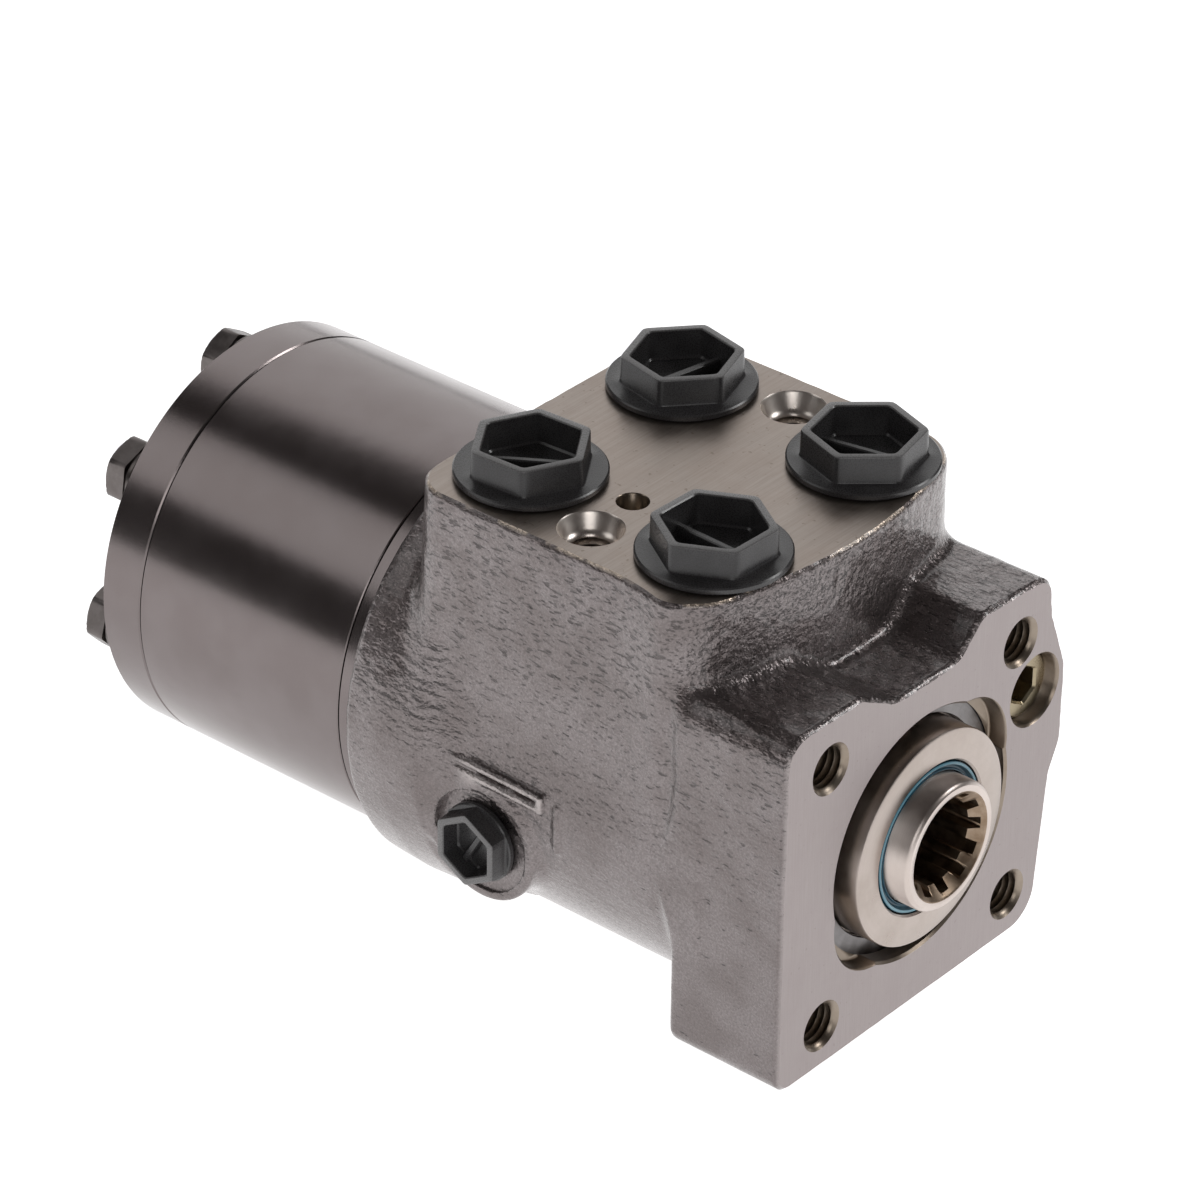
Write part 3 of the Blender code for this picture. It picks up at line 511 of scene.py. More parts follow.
def cap_plastic():
    """Black polyethylene, with a painted highlight along the caps' rims."""
    paint = Paint("black_cap_plastic", specular_ior_level=0.55)
    patches = paint.noise(5, detail=3)
    grain = paint.noise(0.25, detail=2)
    colour = paint.blend(paint.ramp(patches, 0.3, 0.7), (0.040, 0.038, 0.039), (0.055, 0.053, 0.054))
    # Painted highlight along the hexagons' rims, broken up by grain.
    rim_highlight_band = paint.maths("MAXIMUM", paint.near("Z", CAP_RIM, 0.35), paint.near("Y", SIDE_CAP_RIM, 0.35))
    rim = paint.maths("MULTIPLY", rim_highlight_band, paint.ramp(grain, 0.2, 0.6, 0.7, 1.0))
    paint.colour(paint.blend(rim, colour, (0.17, 0.165, 0.165)))
    paint.roughness(paint.ramp(grain, 0.3, 0.7, 0.24, 0.33))
    paint.bumps((grain, 0.008), (patches, 0.03))
    return paint.material


PLUG_CENTRE = (0, RELIEF_Y, RELIEF_Z)
FINISHES = {
    "cast_housing": cast_iron(),
    "gear_set": lathed(
        "oiled_gear_set_steel", (0.19, 0.163, 0.16), (0.215, 0.188, 0.186), 0.2, 0.95, patch=14, uneven=0.018
    ),
    "zinc_bolt": lathed("dark_bolt_steel", (0.13, 0.115, 0.11), (0.19, 0.17, 0.165), 0.36, patch=3),
    "black_plastic": cap_plastic(),
    "gland_steel": lathed("gland_steel", (0.40, 0.345, 0.31), (0.49, 0.43, 0.395), 0.33),
    "polished_steel": lathed("polished_steel", (0.56, 0.49, 0.45), (0.68, 0.61, 0.57), 0.37, depth=0.003),
    "hardened_steel": lathed("hardened_steel", (0.30, 0.28, 0.26), (0.42, 0.40, 0.38), 0.28),
    "spring_steel": lathed("spring_steel", (0.16, 0.15, 0.15), (0.26, 0.25, 0.25), 0.34, patch=4),
    "black_rubber": o_ring_rubber(),
    "blue_rubber": seal_rubber(),
    "bronze": lathed("bearing_bronze", (0.36, 0.26, 0.14), (0.50, 0.38, 0.22), 0.33, patch=4),
    "plug_steel": lathed(
        "relief_plug_steel", (0.28, 0.23, 0.15), (0.42, 0.36, 0.25), 0.3, centre=PLUG_CENTRE
    ),
    "copper": lathed("crush_ring_copper", (0.55, 0.28, 0.16), (0.72, 0.42, 0.26), 0.3, centre=PLUG_CENTRE),
}
PORT_FACE_FINISH = machined_face(
    "milled_port_face", (0.310, 0.262, 0.230), (0.385, 0.335, 0.300), 0.33, (1, 40, 1), (0.12, 0.085, 0.06)
)
FLANGE_FACE_FINISH = machined_face(
    "milled_flange_face", (0.325, 0.284, 0.280), (0.370, 0.328, 0.323), 0.40, (1, 1, 30), (0.255, 0.22, 0.215)
)
BORED_FINISH = lathed("bored_iron", (0.235, 0.190, 0.150), (0.340, 0.290, 0.240), 0.34)
COUNTERBORE_FINISH = lathed("countersunk_iron", (0.80, 0.72, 0.66), (0.92, 0.86, 0.80), 0.32)
OILED_SPLINE_FINISH = lathed("oiled_spline_steel", (0.22, 0.155, 0.105), (0.36, 0.28, 0.21), 0.36, patch=3)


def paint_cad_nodes():
    """Gives every CAD node its slot's finish; the ones replaced later are hidden."""
    for row in frame["record"]["subparts"]:
        materials = frame["nodes"][row["node"]].data.materials
        materials.clear()
        materials.append(FINISHES[row["material_slot"]])


# ---- cast skin --------------------------------------------------------------------------------------


def smooth_min(a, b, reach):
    """The lower of two distances, with a fillet where they are within reach of each other."""
    share = np.clip(0.5 + 0.5 * (b - a) / reach, 0, 1)
    return b + (a - b) * share - reach * share * (1 - share)


def smooth_max(a, b, reach):
    return -smooth_min(-a, -b, reach)


def polygon_distance(u, v, outline):
    """Signed distance from points to a closed outline, negative inside."""
    nearest = np.full(u.shape, np.inf)
    inside = np.zeros(u.shape, bool)
    for (u0, v0), (u1, v1) in zip(outline, outline[1:] + outline[:1]):
        du, dv = u1 - u0, v1 - v0
        share = np.clip(((u - u0) * du + (v - v0) * dv) / (du * du + dv * dv), 0, 1)
        np.minimum(nearest, (u - u0 - share * du) ** 2 + (v - v0 - share * dv) ** 2, out=nearest)
        if dv:
            crosses = (v0 > v) != (v1 > v)
            inside ^= crosses & (u < u0 + (v - v0) * du / dv)
    return np.where(inside, -1, 1) * np.sqrt(nearest)


# The flange's outline, as corners (y, z, radius)
FLANGE_OUTLINE = rounded(
    [
        (-FLANGE_SIDE, FLANGE_BOTTOM, 4),
        (38.0, FLANGE_BOTTOM, 8),
        (41.4, -6.5, 4),
        (44.6, 0, 4),
        (44.6, 18, 6),
        (39.6, 31, 6),
        (38.6, FLANGE_TOP, 5),
        (16.8, FLANGE_TOP + 1, 3),
        (9.2, 34.6, 7),
        (-9.4, 34.6, 7),
        (-20.0, FLANGE_TOP, 3),
        (-FLANGE_SIDE, FLANGE_TOP, 6),
    ]
)


def block_distance(x, y, z):
    """The port block: a tapered box with round upright corners and a slightly crowned front."""
    up = np.clip(z / PORT_FACE, 0, 1.1)
    rear = BLOCK_REAR + BLOCK_REAR_LEAN * up
    half_length = (BLOCK_FRONT - rear) / 2
    middle = (BLOCK_FRONT + rear) / 2
    half_width = BLOCK_HALF_WIDTH - (BLOCK_HALF_WIDTH - BLOCK_TOP_HALF_WIDTH) * up
    flare = np.where(y < 0, np.clip((x - FLARE_START) / FLARE_LENGTH, 0, 1), 0)
    half_width = half_width + (FLANGE_SIDE - half_width) * flare * flare * (3 - 2 * flare)
    half_width = half_width - 0.16 * np.clip(-z, 0, 12)
    ahead = np.clip((x - middle) / half_length, 0, 1)
    u = np.abs(x - middle + y * y / BLOCK_FRONT_CROWN * ahead)
    radius = np.where(x > middle, BLOCK_FRONT_CORNER, BLOCK_REAR_CORNER)
    du, dv = u - half_length + radius, np.abs(y) - half_width + radius
    side = np.hypot(np.maximum(du, 0), np.maximum(dv, 0)) + np.minimum(np.maximum(du, dv), 0) - radius
    side += np.clip(z - PORT_FACE + EDGE_CHAMFER, 0, 1.5)
    return np.maximum(side, np.maximum(z - PORT_FACE - 3, -10 - z))


def flange_distance(x, y, z):
    """The flange plate, worked out only near it."""
    back = -FLANGE_THICK - x
    distance = back.copy()
    close = x > -FLANGE_THICK - 8
    side = polygon_distance(y[close], z[close], FLANGE_OUTLINE)
    side += np.clip(x[close] + EDGE_CHAMFER, 0, 1.5)
    distance[close] = np.maximum(smooth_max(side, back[close], 2.0), x[close] - 2)
    return distance


def capsule(points, start, end, radius):
    """Distance from points to a rod with round ends."""
    start, end = np.array(start), np.array(end)
    along = end - start
    share = np.clip((points - start) @ along / (along @ along), 0, 1)
    return np.linalg.norm(points - start - share[:, None] * along, axis=1) - radius


def casting(points):
    """Distance from points to the casting as it comes out of the sand, before any machining."""
    x, y, z = points.T
    from_axis = np.hypot(y, z)
    body = np.maximum(from_axis - BODY_RADIUS, np.maximum(x - BODY_FRONT, BODY_REAR - x))
    whole = smooth_min(block_distance(x, y, z), body, 1.2)
    collar = from_axis - np.interp(x, *zip(*COLLAR))
    collar = 0.9 * np.maximum(collar, np.maximum(x - (COLLAR[-1][0] + 1), COLLAR[0][0] - 1 - x))
    whole = smooth_min(whole, collar, 5.0)
    ends = [(x_end, RELIEF_Y, RELIEF_Z) for x_end in (RELIEF_BOSS_REAR, RELIEF_BOSS_FRONT)]
    whole = smooth_min(whole, capsule(points, *ends, RELIEF_BOSS_RADIUS), 5.0)
    port = np.hypot(x - SIDE_PORT_X, z - SIDE_PORT_Z) - SIDE_BOSS_RADIUS
    port = smooth_max(port, np.maximum(SIDE_PORT_FACE - y, y - SIDE_BOSS_ROOT), 1.0)
    whole = smooth_min(whole, port, 2.5)
    ends = [(RIDGE_FRONT, RIDGE_Y, RIDGE_Z + height) for height in (-RIDGE_HALF_GAP, RIDGE_HALF_GAP)]
    for end in ends:
        bar = capsule(points, (RIDGE_REAR, RIDGE_Y, end[2] + RIDGE_RISE), end, RIDGE_RADIUS)
        whole = smooth_min(whole, bar, 0.4)
    whole = smooth_min(whole, capsule(points, *ends, RIDGE_RADIUS), 0.4)
    whole = smooth_min(whole, capsule(points, RIB_FOOT, RIB_HEAD, RIB_RADIUS), 0.8)
    whole = smooth_min(whole, flange_distance(x, y, z), 3.6)
    beside_flange = x > FLARE_START - 2
    return np.where(beside_flange, np.maximum(whole, -FLANGE_SIDE - 0.3 - y), whole)


def surface_net(distance, low, high, step):
    """Vertices and outward quads of a stepped surface that lies within a step of distance 0."""
    low, high = np.array(low, float), np.array(high, float)
    counts = np.ceil((high - low) / step).astype(int) + 1
    lines = [low[axis] + step * np.arange(counts[axis]) for axis in range(3)]
    values = np.empty(counts)
    for number, x in enumerate(lines[0]):
        y, z = np.meshgrid(lines[1], lines[2], indexing="ij")
        slab = np.stack([np.full(y.size, x), y.ravel(), z.ravel()], axis=1)
        values[number] = distance(slab).reshape(y.shape)
    inside = values < 0
    corners = [
        inside[i : counts[0] - 1 + i, j : counts[1] - 1 + j, k : counts[2] - 1 + k]
        for i in (0, 1)
        for j in (0, 1)
        for k in (0, 1)
    ]
    total = np.sum(corners, axis=0)
    mixed = (total > 0) & (total < 8)
    index = np.full(mixed.shape, -1)
    index[mixed] = np.arange(mixed.sum())
    vertices = low + step * (np.argwhere(mixed) + 0.5)
    quads = []
    for axis in range(3):
        u, v = (axis + 1) % 3, (axis + 2) % 3
        below = np.take(inside, range(counts[axis] - 1), axis)
        above = np.take(inside, range(1, counts[axis]), axis)
        for falling, crossing in ((False, below & ~above), (True, ~below & above)):
            places = np.argwhere(crossing)
            ring = []
            for back_u, back_v in ((0, 0), (1, 0), (1, 1), (0, 1)):
                cell = places.copy()
                cell[:, u] -= back_u
                cell[:, v] -= back_v
                ring.append(index[tuple(cell.T)])
            quads.append(np.stack(ring[::-1] if falling else ring, axis=1))
    return vertices, np.concatenate(quads)


def gradient(distance, points, reach=0.05):
    """Slope of the distance along X, Y and Z at each point."""
    slopes = []
    for axis in range(3):
        offset = np.zeros(3)
        offset[axis] = reach
        slopes.append((distance(points + offset) - distance(points - offset)) / (2 * reach))
    return np.stack(slopes, axis=1)


def settle(distance, points, rounds=4):
    """Slides points along the slope until they lie on the surface, and returns them with its normals."""
    for _ in range(rounds):
        slope = gradient(distance, points)
        length = np.maximum(np.linalg.norm(slope, axis=1), 0.2)[:, None]
        shift = np.clip(distance(points)[:, None] / length, -0.5, 0.5)
        points = points - shift * slope / length
    return points, slope / length


def lattice_noise(points, size, seed):
    """Smooth noise from -1 to 1 with features of about that size, from a seeded lattice."""
    count = 48
    lattice = np.random.default_rng(seed).uniform(-1, 1, (count,) * 3)
    places = points / size
    base = np.floor(places).astype(int)
    share = places - base
    share = share * share * (3 - 2 * share)
    result = np.zeros(len(points))
    for corner in np.ndindex(2, 2, 2):
        weight = np.prod(np.where(corner, share, 1 - share), axis=1)
        result += weight * lattice[tuple(((base + corner) % count).T)]
    return result


def cast_skin():
    """The casting's skin with its sand texture, coarser on the block and saddle than round the body."""
    vertices, quads = surface_net(casting, SKIN_LOW, SKIN_HIGH, GRID)
    vertices, normals = settle(casting, vertices)
    stretched = vertices * np.array((0.65, 1.0, 1.0))
    texture = (
        0.45 * lattice_noise(stretched, 1.6, 11)
        + 0.35 * lattice_noise(stretched, 2.9, 12)
        + 0.35 * lattice_noise(vertices, 7.5, 13)
    )
    x, _, z = vertices.T
    round_body, more_on_block, on_saddle = 0.05, 0.12, 0.22
    rough = round_body + more_on_block * np.clip((z + 12) / 14, 0, 1)
    rough = np.where((x > -30) & (z > 20), on_saddle, rough)
    depth = rough * np.where(texture > 0, 1.0, 0.8)
    vertices = vertices + normals * (texture * depth)[:, None]
    return shape(vertices.tolist(), quads.tolist())


# ---- machining --------------------------------------------------------------------------------------


def thread_profile(mouth, depth, major, minor, pitch, chamfer):
    """Closed outline of a threaded hole going from its mouth towards lower values, as round grooves."""
    outline = [(mouth + 1, 0), (mouth + 1, major + chamfer), (mouth, major + chamfer)]
    along = mouth - chamfer
    while along - pitch > mouth - depth:
        outline += [(along, major), (along - 0.44 * pitch, minor), (along - 0.56 * pitch, minor)]
        along -= pitch
    tip = mouth - depth
    return outline + [(tip, minor), (tip - minor * 0.55, 0.2), (tip - minor * 0.55, 0)]


def valve_front():
    """Stepped recess, retaining ring groove, gland and bearing seats and the mouth of the bore."""
    rim = RECESS_RADIUS + 0.5
    outline = [(1, 0), (1, rim), (0, rim), (-0.5, RECESS_RADIUS), (-4.1, RECESS_RADIUS), (-4.1, 28.4)]
    outline += [(-6, 28.4), (-6, 25.8), (-12.6, 25.8), (-12.6, 24.6), (-17.6, 24.6)]
    outline += [(-17.6, BORE_RADIUS), (-20, BORE_RADIUS), (-20, 0)]
    return turned(outline, segments=160)


def front_cutters():
    """Flange face, valve recess with its two notches, screw holes and relief valve bore."""
    cutters = [box((0, -60, -60), (10, 60, 60)), valve_front()]
    for bearing in NOTCH_BEARINGS:
        angle = math.radians(bearing)
        y, z = NOTCH_OFFSET * math.cos(angle), NOTCH_OFFSET * math.sin(angle)
        rim, wall = NOTCH_RADIUS, NOTCH_RADIUS - 0.4
        profile = [(1, 0), (1, rim), (0, rim), (-0.4, wall), (-3.6, wall), (-4, wall - 0.4), (-4, 0)]
        cutters.append(turned(profile, (0, y, z), 128))
    for y in (-FLANGE_HOLE_PLACE, FLANGE_HOLE_PLACE):
        for z in (-FLANGE_HOLE_PLACE, FLANGE_HOLE_PLACE):
            cutters.append(turned(thread_profile(0, 18, 5.0, 4.25, 1.5, 0.4), (0, y, z), 72))
    relief = [(1, 0), (1, 7.9), (0, 7.9), (-0.7, 7.3), (-16, 7.3), (-16, 5.2), (-42, 5.2), (-42, 2.5)]
    cutters.append(turned(relief + [(-50, 2.5), (-50, 0)], PLUG_CENTRE))
    return cutters


def upright_hole(profile, x, y):
    return turned([(PORT_FACE + along, radius) for along, radius in profile], (x, y, 0), 72, UPRIGHT)


def port_face_cutters():
    """Port face, its four ports, two screw holes in counterbores and the locating pin's hole."""
    cutters = [box((-120, -60, PORT_FACE), (10, 60, 80))]
    for dx in (-PORT_HALF_SPACING, PORT_HALF_SPACING):
        for y in (-PORT_HALF_SPACING, PORT_HALF_SPACING):
            mouth = [(1, 0), (1, 11.3), (0, 11.3), (-0.9, 10.45), (-16, 10.45), (-16, 0)]
            cutters.append(upright_hole(mouth, PORT_CENTRE_X + dx, y))
    rim, foot = COUNTERBORE_RADIUS, -COUNTERBORE_DEPTH
    for y in (-PORT_BOLT_Y, PORT_BOLT_Y):
        counterbore = [(1, 0), (1, rim), (0, rim), (-0.3, rim - 0.25), (foot, rim - 1.25), (foot, 0)]
        cutters.append(upright_hole(counterbore, PORT_BOLT_X, y))
        cutters.append(upright_hole(thread_profile(foot, 14.8, 4.8, 4.15, 1.5, 0.5), PORT_BOLT_X, y))
    pin = [(1, 0), (1, 3.3), (0, 3.3), (-0.3, 3.0), (-13, 3.0), (-13, 0)]
    cutters.append(upright_hole(pin, PIN_HOLE_X, PIN_HOLE_Y))
    return cutters


def side_and_rear_cutters():
    """Spotface and bore of the side port, and the face that the gear stack closes."""
    x, face, z = SIDE_PORT_X, SIDE_PORT_FACE, SIDE_PORT_Z
    return [
        rod(SPOTFACE_RADIUS, (x, face + 0.6, z), (x, face - 8, z), 96),
        rod(6.6, (x, face + 13, z), (x, face - 8, z)),
        box((-120, -60, -60), (HOUSING_REAR, 60, 60)),
    ]


def inner_hollows():
    """Bore, grooves, drillings and bolt holes, taken from the CAD node."""
    rear = HOUSING_REAR - 1
    body = turned([(rear, 0), (rear, 43.4), (-104, 43.4), (-104, 41.2), (-19, 41.2), (-19, 0)])
    under_ports = box((-92, -30, 0), (-22, 30, 43.2))
    return hollows("housing", combined(body, under_ports, "UNION"))


# Kinds of surface on the housing, in the order of its materials
CAST, PORT_MILLED, MILLED, BORED, COUNTERSUNK = range(5)


def surface_kinds(mesh):
    """Tells from each face's place and direction how it was made."""
    count = len(mesh.polygons)
    centres = np.empty(count * 3)
    normals = np.empty(count * 3)
    mesh.polygons.foreach_get("center", centres)
    mesh.polygons.foreach_get("normal", normals)
    centres, normals = centres.reshape(-1, 3), normals.reshape(-1, 3)
    x, y, z = centres.T
    same, facing = 0.02, 0.99
    kinds = np.where(casting(centres) < -0.45, BORED, CAST)
    kinds[(np.abs(x) < same) & (normals[:, 0] > facing)] = MILLED
    kinds[(np.abs(x - HOUSING_REAR) < same) & (normals[:, 0] < -facing)] = MILLED
    kinds[(y < SIDE_PORT_FACE + 0.8) & (kinds == BORED)] = CAST  # the spotface is as dark as the wall
    kinds[(np.abs(z - PORT_FACE) < same) & (normals[:, 2] > facing)] = PORT_MILLED
    from_screw = np.hypot(x - PORT_BOLT_X, np.abs(y) - PORT_BOLT_Y)
    kinds[(kinds == BORED) & (from_screw < COUNTERBORE_RADIUS + 0.15) & (z > PORT_FACE - 9)] = COUNTERSUNK
    return kinds


def sharpen_borders(mesh, kinds):
    """Marks the edges where one kind of surface meets another as sharp."""
    edge_of_loop = np.empty(len(mesh.loops), int)
    mesh.loops.foreach_get("edge_index", edge_of_loop)
    sizes = np.empty(len(mesh.polygons), int)
    mesh.polygons.foreach_get("loop_total", sizes)
    kind_of_loop = np.repeat(kinds, sizes)
    lowest = np.full(len(mesh.edges), 9)
    highest = np.full(len(mesh.edges), -1)
    np.minimum.at(lowest, edge_of_loop, kind_of_loop)
    np.maximum.at(highest, edge_of_loop, kind_of_loop)
    sharp = np.empty(len(mesh.edges), bool)
    mesh.edges.foreach_get("use_edge_sharp", sharp)
    mesh.edges.foreach_set("use_edge_sharp", sharp | (lowest < highest))


def housing():
    """The cast skin, machined, with a finish for each kind of surface."""
    skin = cast_skin()
    cut(skin, front_cutters() + port_face_cutters() + side_and_rear_cutters() + [inner_hollows()])
    kinds = surface_kinds(skin.data)
    machined = [PORT_FACE_FINISH, FLANGE_FACE_FINISH, BORED_FINISH, COUNTERBORE_FINISH]
    materials = [FINISHES["cast_housing"], *machined]
    piece(skin, "housing_casting", "housing", "cast_housing", materials=materials, sharp=38)
    skin.data.polygons.foreach_set("material_index", kinds.astype(np.int32))
    sharpen_borders(skin.data, kinds)


# ---- gear stack -------------------------------------------------------------------------------------


def stack_disc(node, chamfer):
    """A disc of the stack with turned edges, and the CAD node's own holes inside."""
    low, high = span(node)
    rear, front, radius = low.x, high.x, (high.y - low.y) / 2
    rim = radius - chamfer
    edges = [(rear, rim), (rear + chamfer, radius), (front - chamfer, radius), (front, rim)]
    disc = turned([(rear, 0), *edges, (front, 0)], segments=256)
    rear, front, radius = rear - 1, front + 1, STACK_CORE_RADIUS
    core = turned([(rear, 0), (rear, radius), (front, radius), (front, 0)])
    return cut(disc, [hollows(node, core)])


def gear_stack():
    for node, chamfer in (("gerotor_ring", 0.2), ("distributor_plate", 0.2), ("end_cover", 0.3)):
        piece(stack_disc(node, chamfer), f"{node}_turned", node, "gear_set")


def cover_screws():
    """Hexagon screws with a chamfered, slightly dished head, each on a washer."""
    shank, across = SCREW_SHANK, SCREW_ACROSS_FLATS
    for number in range(1, COVER_SCREWS + 1):
        node = f"cover_bolt_{number}"
        low, high = span(node)
        head = span(f"cover_washer_{number}")[0].x - GAP
        centre = middle_of(f"cover_washer_{number}")
        phase = math.atan2(centre.z, centre.y)
        loops = [(high.x, circle(shank - 0.7)), (high.x - 0.8, circle(shank)), (head, circle(shank))]
        loops += [(head, circle(5.9)), (head - 0.3, hexagon(across, phase, within=6.2))]
        loops += [(head - 0.4, hexagon(across, phase)), (low.x + 1.0, hexagon(across, phase))]
        for rise in (0.75, 0.5, 0.25, 0.0):
            loops.append((low.x + rise, hexagon(across, phase, within=6.0 + 1.6 * rise)))
        loops += [(low.x, circle(5.2)), (low.x + 0.3, circle(4.8))]
        obj = loft(loops, (0, centre.y, centre.z), ALONG_SHAFT)
        piece(obj, f"cover_screw_{number}", node, "zinc_bolt")
        washer(number)


def washer(number):
    node = f"cover_washer_{number}"
    low, high = span(node)
    centre = middle_of(node)
    edges = [(low.x, 4.6), (low.x, 6.7), (low.x + 0.25, 7.0), (high.x - 0.25, 7.0), (high.x, 6.7)]
    inner = [(high.x, 4.6), (high.x - 0.2, 4.4), (low.x + 0.2, 4.4)]
    obj = turned(edges + inner, (0, centre.y, centre.z), 64)
    piece(obj, f"{node}_turned", node, "zinc_bolt")


# ---- gland and spool --------------------------------------------------------------------------------


def gland():
    """The gland bushing with its grooves, and the two lips of the dust seal in it."""
    low, high = span("gland_bushing")
    front, rear = high.x, low.x
    outer = [(front, 16.3), (front, 22.0), (front - 0.25, 22.45), (front - 0.6, 22.6), (-6.0, 22.6)]
    shoulder = [(-6.3, 25.2), (-6.5, 25.5), (-8.2, 25.5), (-8.2, 23.6), (-10.4, 23.6), (-10.4, 25.5)]
    inner = [(rear, 25.5), (rear, 13.9), (-5.4, 13.9), (-5.4, 16.9), (-2.4, 16.9), (-2.4, 13.9)]
    mouth = [(-1.2, 13.9), (-1.2, 15.9), (front - 0.4, 15.9)]
    obj = turned(outer + shoulder + inner + mouth, segments=192)
    piece(obj, "gland_turned", "gland_bushing", "gland_steel")
    lips = [(-0.9, 13.8), (-0.9, 15.6), (1.5, 15.6), (1.9, 15.5), (2.1, 15.2), (2.0, 14.95), (1.5, 14.75)]
    lips += [(1.2, 14.5), (1.25, 14.15), (1.6, 13.95), (1.65, 13.8)]
    piece(turned(lips, segments=160), "dust_seal_lips", "dust_seal", "blue_rubber")


def retaining_ring():
    """A split ring of rectangular wire with broken edges, its gap at the top."""
    rear, front, inner, outer, edge = -5.7, -4.4, 23.0, 28.0, 0.2
    wire = [(inner + edge, rear), (outer - edge, rear), (outer, rear + edge), (outer, front - edge)]
    wire += [(outer - edge, front), (inner + edge, front), (inner, front - edge), (inner, rear + edge)]
    turn = np.linspace(math.radians(98), math.radians(442), 120)
    rings = [[(x, radius * math.cos(a), radius * math.sin(a)) for radius, x in wire] for a in turn]
    piece(placed(joined(rings)), "retaining_ring_formed", "retaining_ring", "spring_steel")


def spline_outline(tip, root, arc=6):
    """Tooth spaces with round tips at one radius between flats at the other."""
    pitch = 2 * math.pi / SPLINE_TEETH
    outline = []
    for tooth in range(SPLINE_TEETH):
        middle = tooth * pitch
        for k in range(arc + 1):
            turn = middle + pitch * 0.23 * (2 * k / arc - 1)
            outline.append((tip * math.cos(turn), tip * math.sin(turn)))
        for share in (0.32, 0.5, 0.68):
            turn = middle + pitch * share
            outline.append((root * math.cos(turn), root * math.sin(turn)))
    return outline


def spool_nose():
    """The spool with its turned nose, lead-in chamfer and splined mouth."""
    low, high = span("control_spool")
    front = high.x
    nose = [(front, 11.5), (front, 12.7), (front - 0.25, 13.1), (front - 0.8, 13.5), (-17.9, 13.5)]
    land = [(-17.9, 15.3), (-18.1, 15.5), (low.x + 0.3, 15.5), (low.x, 15.2), (low.x, 11.8), (-22.0, 11.8)]
    mouth = [(-22.0, 8.9), (front - 2.6, 8.9), (front - 2.3, 9.2), (front - 0.3, 11.2)]
    spool = turned(nose + land + mouth, segments=144)
    outline = spline_outline(SPLINE_TIP, SPLINE_ROOT)
    spaces = loft([(-23, outline), (front - 0.4, outline)], turn=ALONG_SHAFT)
    core = turned([(low.x - 1, 0), (low.x - 1, 16.5), (-21, 16.5), (-21, 0)])
    cut(spool, [spaces, hollows("control_spool", core)])
    inside = [math.hypot(p.center.y, p.center.z) < SPOOL_MOUTH_RADIUS for p in spool.data.polygons]
    materials = [FINISHES["polished_steel"], OILED_SPLINE_FINISH]
    piece(spool, "control_spool_turned", "control_spool", "polished_steel", "spool", materials)
    spool.data.polygons.foreach_set("material_index", np.array(inside, np.int32))


def relief_plug():
    """The plug with its thread as round grooves and a hexagon socket."""
    low, front = span("relief_plug")[0], PLUG_FRONT
    outline = [(low.x, 0), (low.x, 4.1), (low.x + 0.4, 4.4), (-13, 4.4), (-13, 6.7)]
    along = -12.7
    while along + PLUG_PITCH < front - 1.2:
        outline += [(along, 7.0), (along + 0.6, 7.0), (along + 0.9, 6.6), (along + 1.1, 6.6)]
        along += PLUG_PITCH
    outline += [(along, 7.0), (front - 0.6, 7.0), (front, 6.4), (front, 0)]
    plug = turned(outline, PLUG_CENTRE)
    across, phase = PLUG_ACROSS_FLATS, math.pi / 2
    socket = [(-9, hexagon(across, phase)), (front - 0.5, hexagon(across, phase))]
    socket.append((front + 0.3, hexagon(across + 1.4, phase)))
    cut(plug, [loft(socket, PLUG_CENTRE, ALONG_SHAFT)])
    piece(plug, "relief_plug_turned", "relief_plug", "plug_steel")


def relief_spring():
    """The CAD node's own coils, shaded smooth and given their own mesh."""
    mesh = frame["nodes"]["relief_spring"].data.copy()
    mesh.transform(TO_ROW.inverted())
    obj = piece(linked("coils", mesh), "relief_spring_coils", "relief_spring", "spring_steel", sharp=60)
    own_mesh(obj)


# ---- caps -------------------------------------------------------------------------------------------


def blanking_cap(node, at, turn, phase, disc_radius, disc, across, height, wall, shank):
    """A moulded cap: hollow threaded shank, flange disc and hollow hexagon with a bar across its floor."""
    phase = math.radians(phase)
    top, floor, depth, lip = disc + height, disc - 0.6, shank - 1, 0.28
    loops = [(-1.2, circle(shank - 2)), (-depth, circle(shank - 2)), (-depth, circle(shank - 0.6))]
    along = -depth + 0.4
    while along < -2.4:
        loops += [(along, circle(shank)), (along + 0.4, circle(shank)), (along + 1.0, circle(shank - 0.7))]
        along += 1.8
    loops += [(0, circle(shank - 0.7)), (0, circle(disc_radius - lip)), (lip, circle(disc_radius))]
    loops += [(disc - lip, circle(disc_radius)), (disc, circle(disc_radius - lip))]
    loops += [(disc, hexagon(across + 0.9, phase)), (disc + 0.15, hexagon(across + 0.3, phase))]
    loops += [(disc + 0.5, hexagon(across, phase)), (top - 0.3, hexagon(across - 0.2, phase))]
    loops += [(top - 0.08, hexagon(across - 0.4, phase)), (top, hexagon(across - 0.8, phase))]
    inner = across - 2 * wall
    loops += [(top, hexagon(inner + 0.6, phase)), (top - 0.25, hexagon(inner + 0.1, phase))]
    loops += [(floor + 0.4, hexagon(inner - 0.2, phase)), (floor, hexagon(inner - 0.9, phase))]
    cap = loft(loops, at, turn)
    reach = across / 2 - wall + 0.25
    crest, foot = floor + height * 0.36, floor - 0.2
    bar = []
    for level, half in ((foot, 0.85), (crest - 0.25, 0.7), (crest, 0.45)):
        corners = [(-reach, -half), (reach, -half), (reach, half), (-reach, half)]
        spin = Matrix.Rotation(phase + math.pi / 6, 2)
        bar.append((level, [tuple(spin @ Vector(corner)) for corner in corners]))
    combined(cap, loft(bar, at, turn), "UNION")
    piece(cap, f"{node}_moulded", node, "black_plastic")


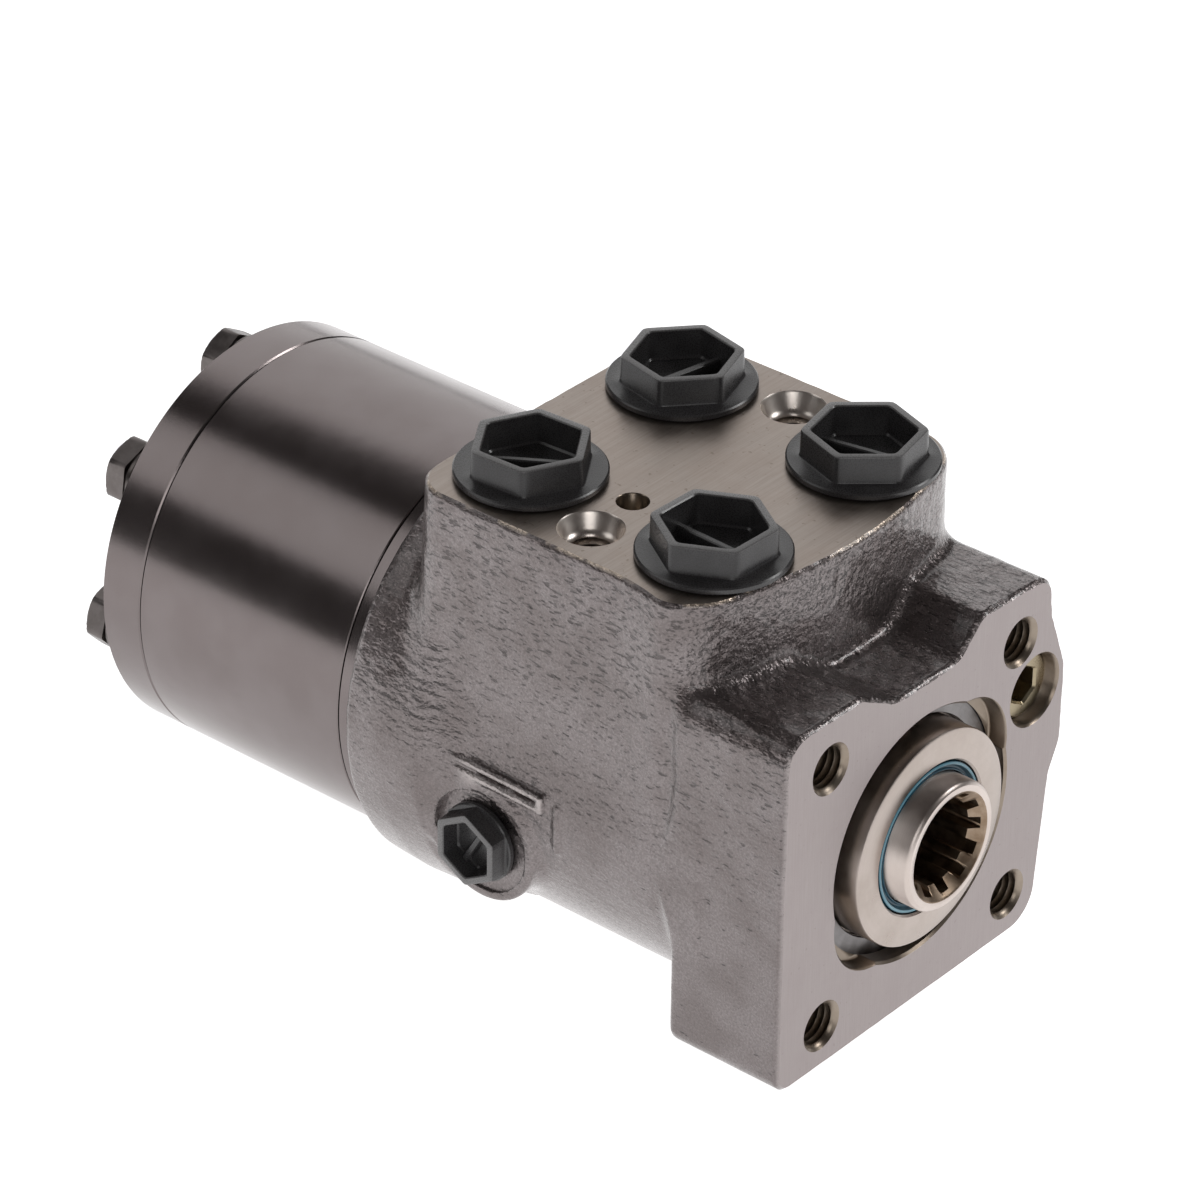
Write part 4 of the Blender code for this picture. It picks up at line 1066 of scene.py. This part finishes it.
def caps():
    """The four port caps and the side port's, each placed by its CAD node's outer end."""
    for node, phase in CAP_PHASES.items():
        centre, top = middle_of(node), span(node)[1].z
        at = (centre.x, centre.y, top - PORT_CAP["disc"] - PORT_CAP["height"])
        blanking_cap(node, at, UPRIGHT, phase, **PORT_CAP)
    centre, outer = middle_of("side_port_cap"), span("side_port_cap")[0].y
    at = (centre.x, outer + SIDE_CAP["disc"] + SIDE_CAP["height"], centre.z)
    blanking_cap("side_port_cap", at, OUT_OF_SIDE, SIDE_CAP_PHASE, **SIDE_CAP)


# ---- studio -----------------------------------------------------------------------------------------


def floor():
    """A pale floor with a glow of its own, so that it renders white."""
    bm = bmesh.new()
    bmesh.ops.create_grid(bm, x_segments=8, y_segments=8, size=6)
    mesh = bpy.data.meshes.new("floor")
    bm.to_mesh(mesh)
    bm.free()
    obj = linked("floor", mesh)
    obj.location.z = -0.0005
    paint = bpy.data.materials.new("white_floor")
    paint.use_nodes = True
    shader = paint.node_tree.nodes["Principled BSDF"]
    shader.inputs["Base Color"].default_value = FLOOR_COLOUR
    shader.inputs["Roughness"].default_value = 0.9
    shader.inputs["Emission Color"].default_value = (1.0, 1.0, 1.0, 1)
    shader.inputs["Emission Strength"].default_value = FLOOR_GLOW
    mesh.materials.append(paint)


def panel(name, bearing, elevation, distance, width, height, brightness):
    """A softbox seen from the object at that bearing and elevation, in degrees, and facing it."""
    bearing, elevation = math.radians(bearing), math.radians(elevation)
    level = math.cos(elevation)
    direction = Vector((level * math.cos(bearing), level * math.sin(bearing), math.sin(elevation)))
    light = bpy.data.lights.new(name, "AREA")
    light.shape = "RECTANGLE"
    light.size, light.size_y = width, height
    light.energy = math.pi * width * height * brightness
    obj = linked(name, light)
    obj.location = Vector((0, 0, 0.05)) + direction * distance
    obj.rotation_euler = direction.to_track_quat("Z", "Y").to_euler()


def studio():
    floor()
    world = bpy.data.worlds.new("studio")
    bpy.context.scene.world = world
    world.use_nodes = True
    world.node_tree.nodes["Background"].inputs["Color"].default_value = WORLD_COLOUR
    for name, numbers in SOFTBOXES.items():
        panel(name, *numbers)
    bpy.context.scene.view_settings.view_transform = "Standard"


def camera():
    heading, elevation = math.radians(CAMERA_HEADING), math.radians(CAMERA_ELEVATION)
    level = math.cos(elevation)
    forward = Vector((level * math.cos(heading), level * math.sin(heading), -math.sin(elevation)))
    data = bpy.data.cameras.new("camera")
    data.lens = CAMERA_LENS
    data.sensor_width = 36.0
    data.clip_start, data.clip_end = 0.05, 50.0
    obj = linked("camera", data)
    obj.location = TO_ROW @ (Vector(CAMERA_AIM) - forward * CAMERA_DISTANCE)
    level_turn = forward.to_track_quat("-Z", "Y").to_matrix()
    obj.rotation_euler = (level_turn @ Matrix.Rotation(math.radians(CAMERA_ROLL), 3, "Z")).to_euler()
    bpy.context.scene.camera = obj


paint_cad_nodes()
housing()
gear_stack()
cover_screws()
gland()
retaining_ring()
spool_nose()
relief_plug()
relief_spring()
caps()
studio()
camera()
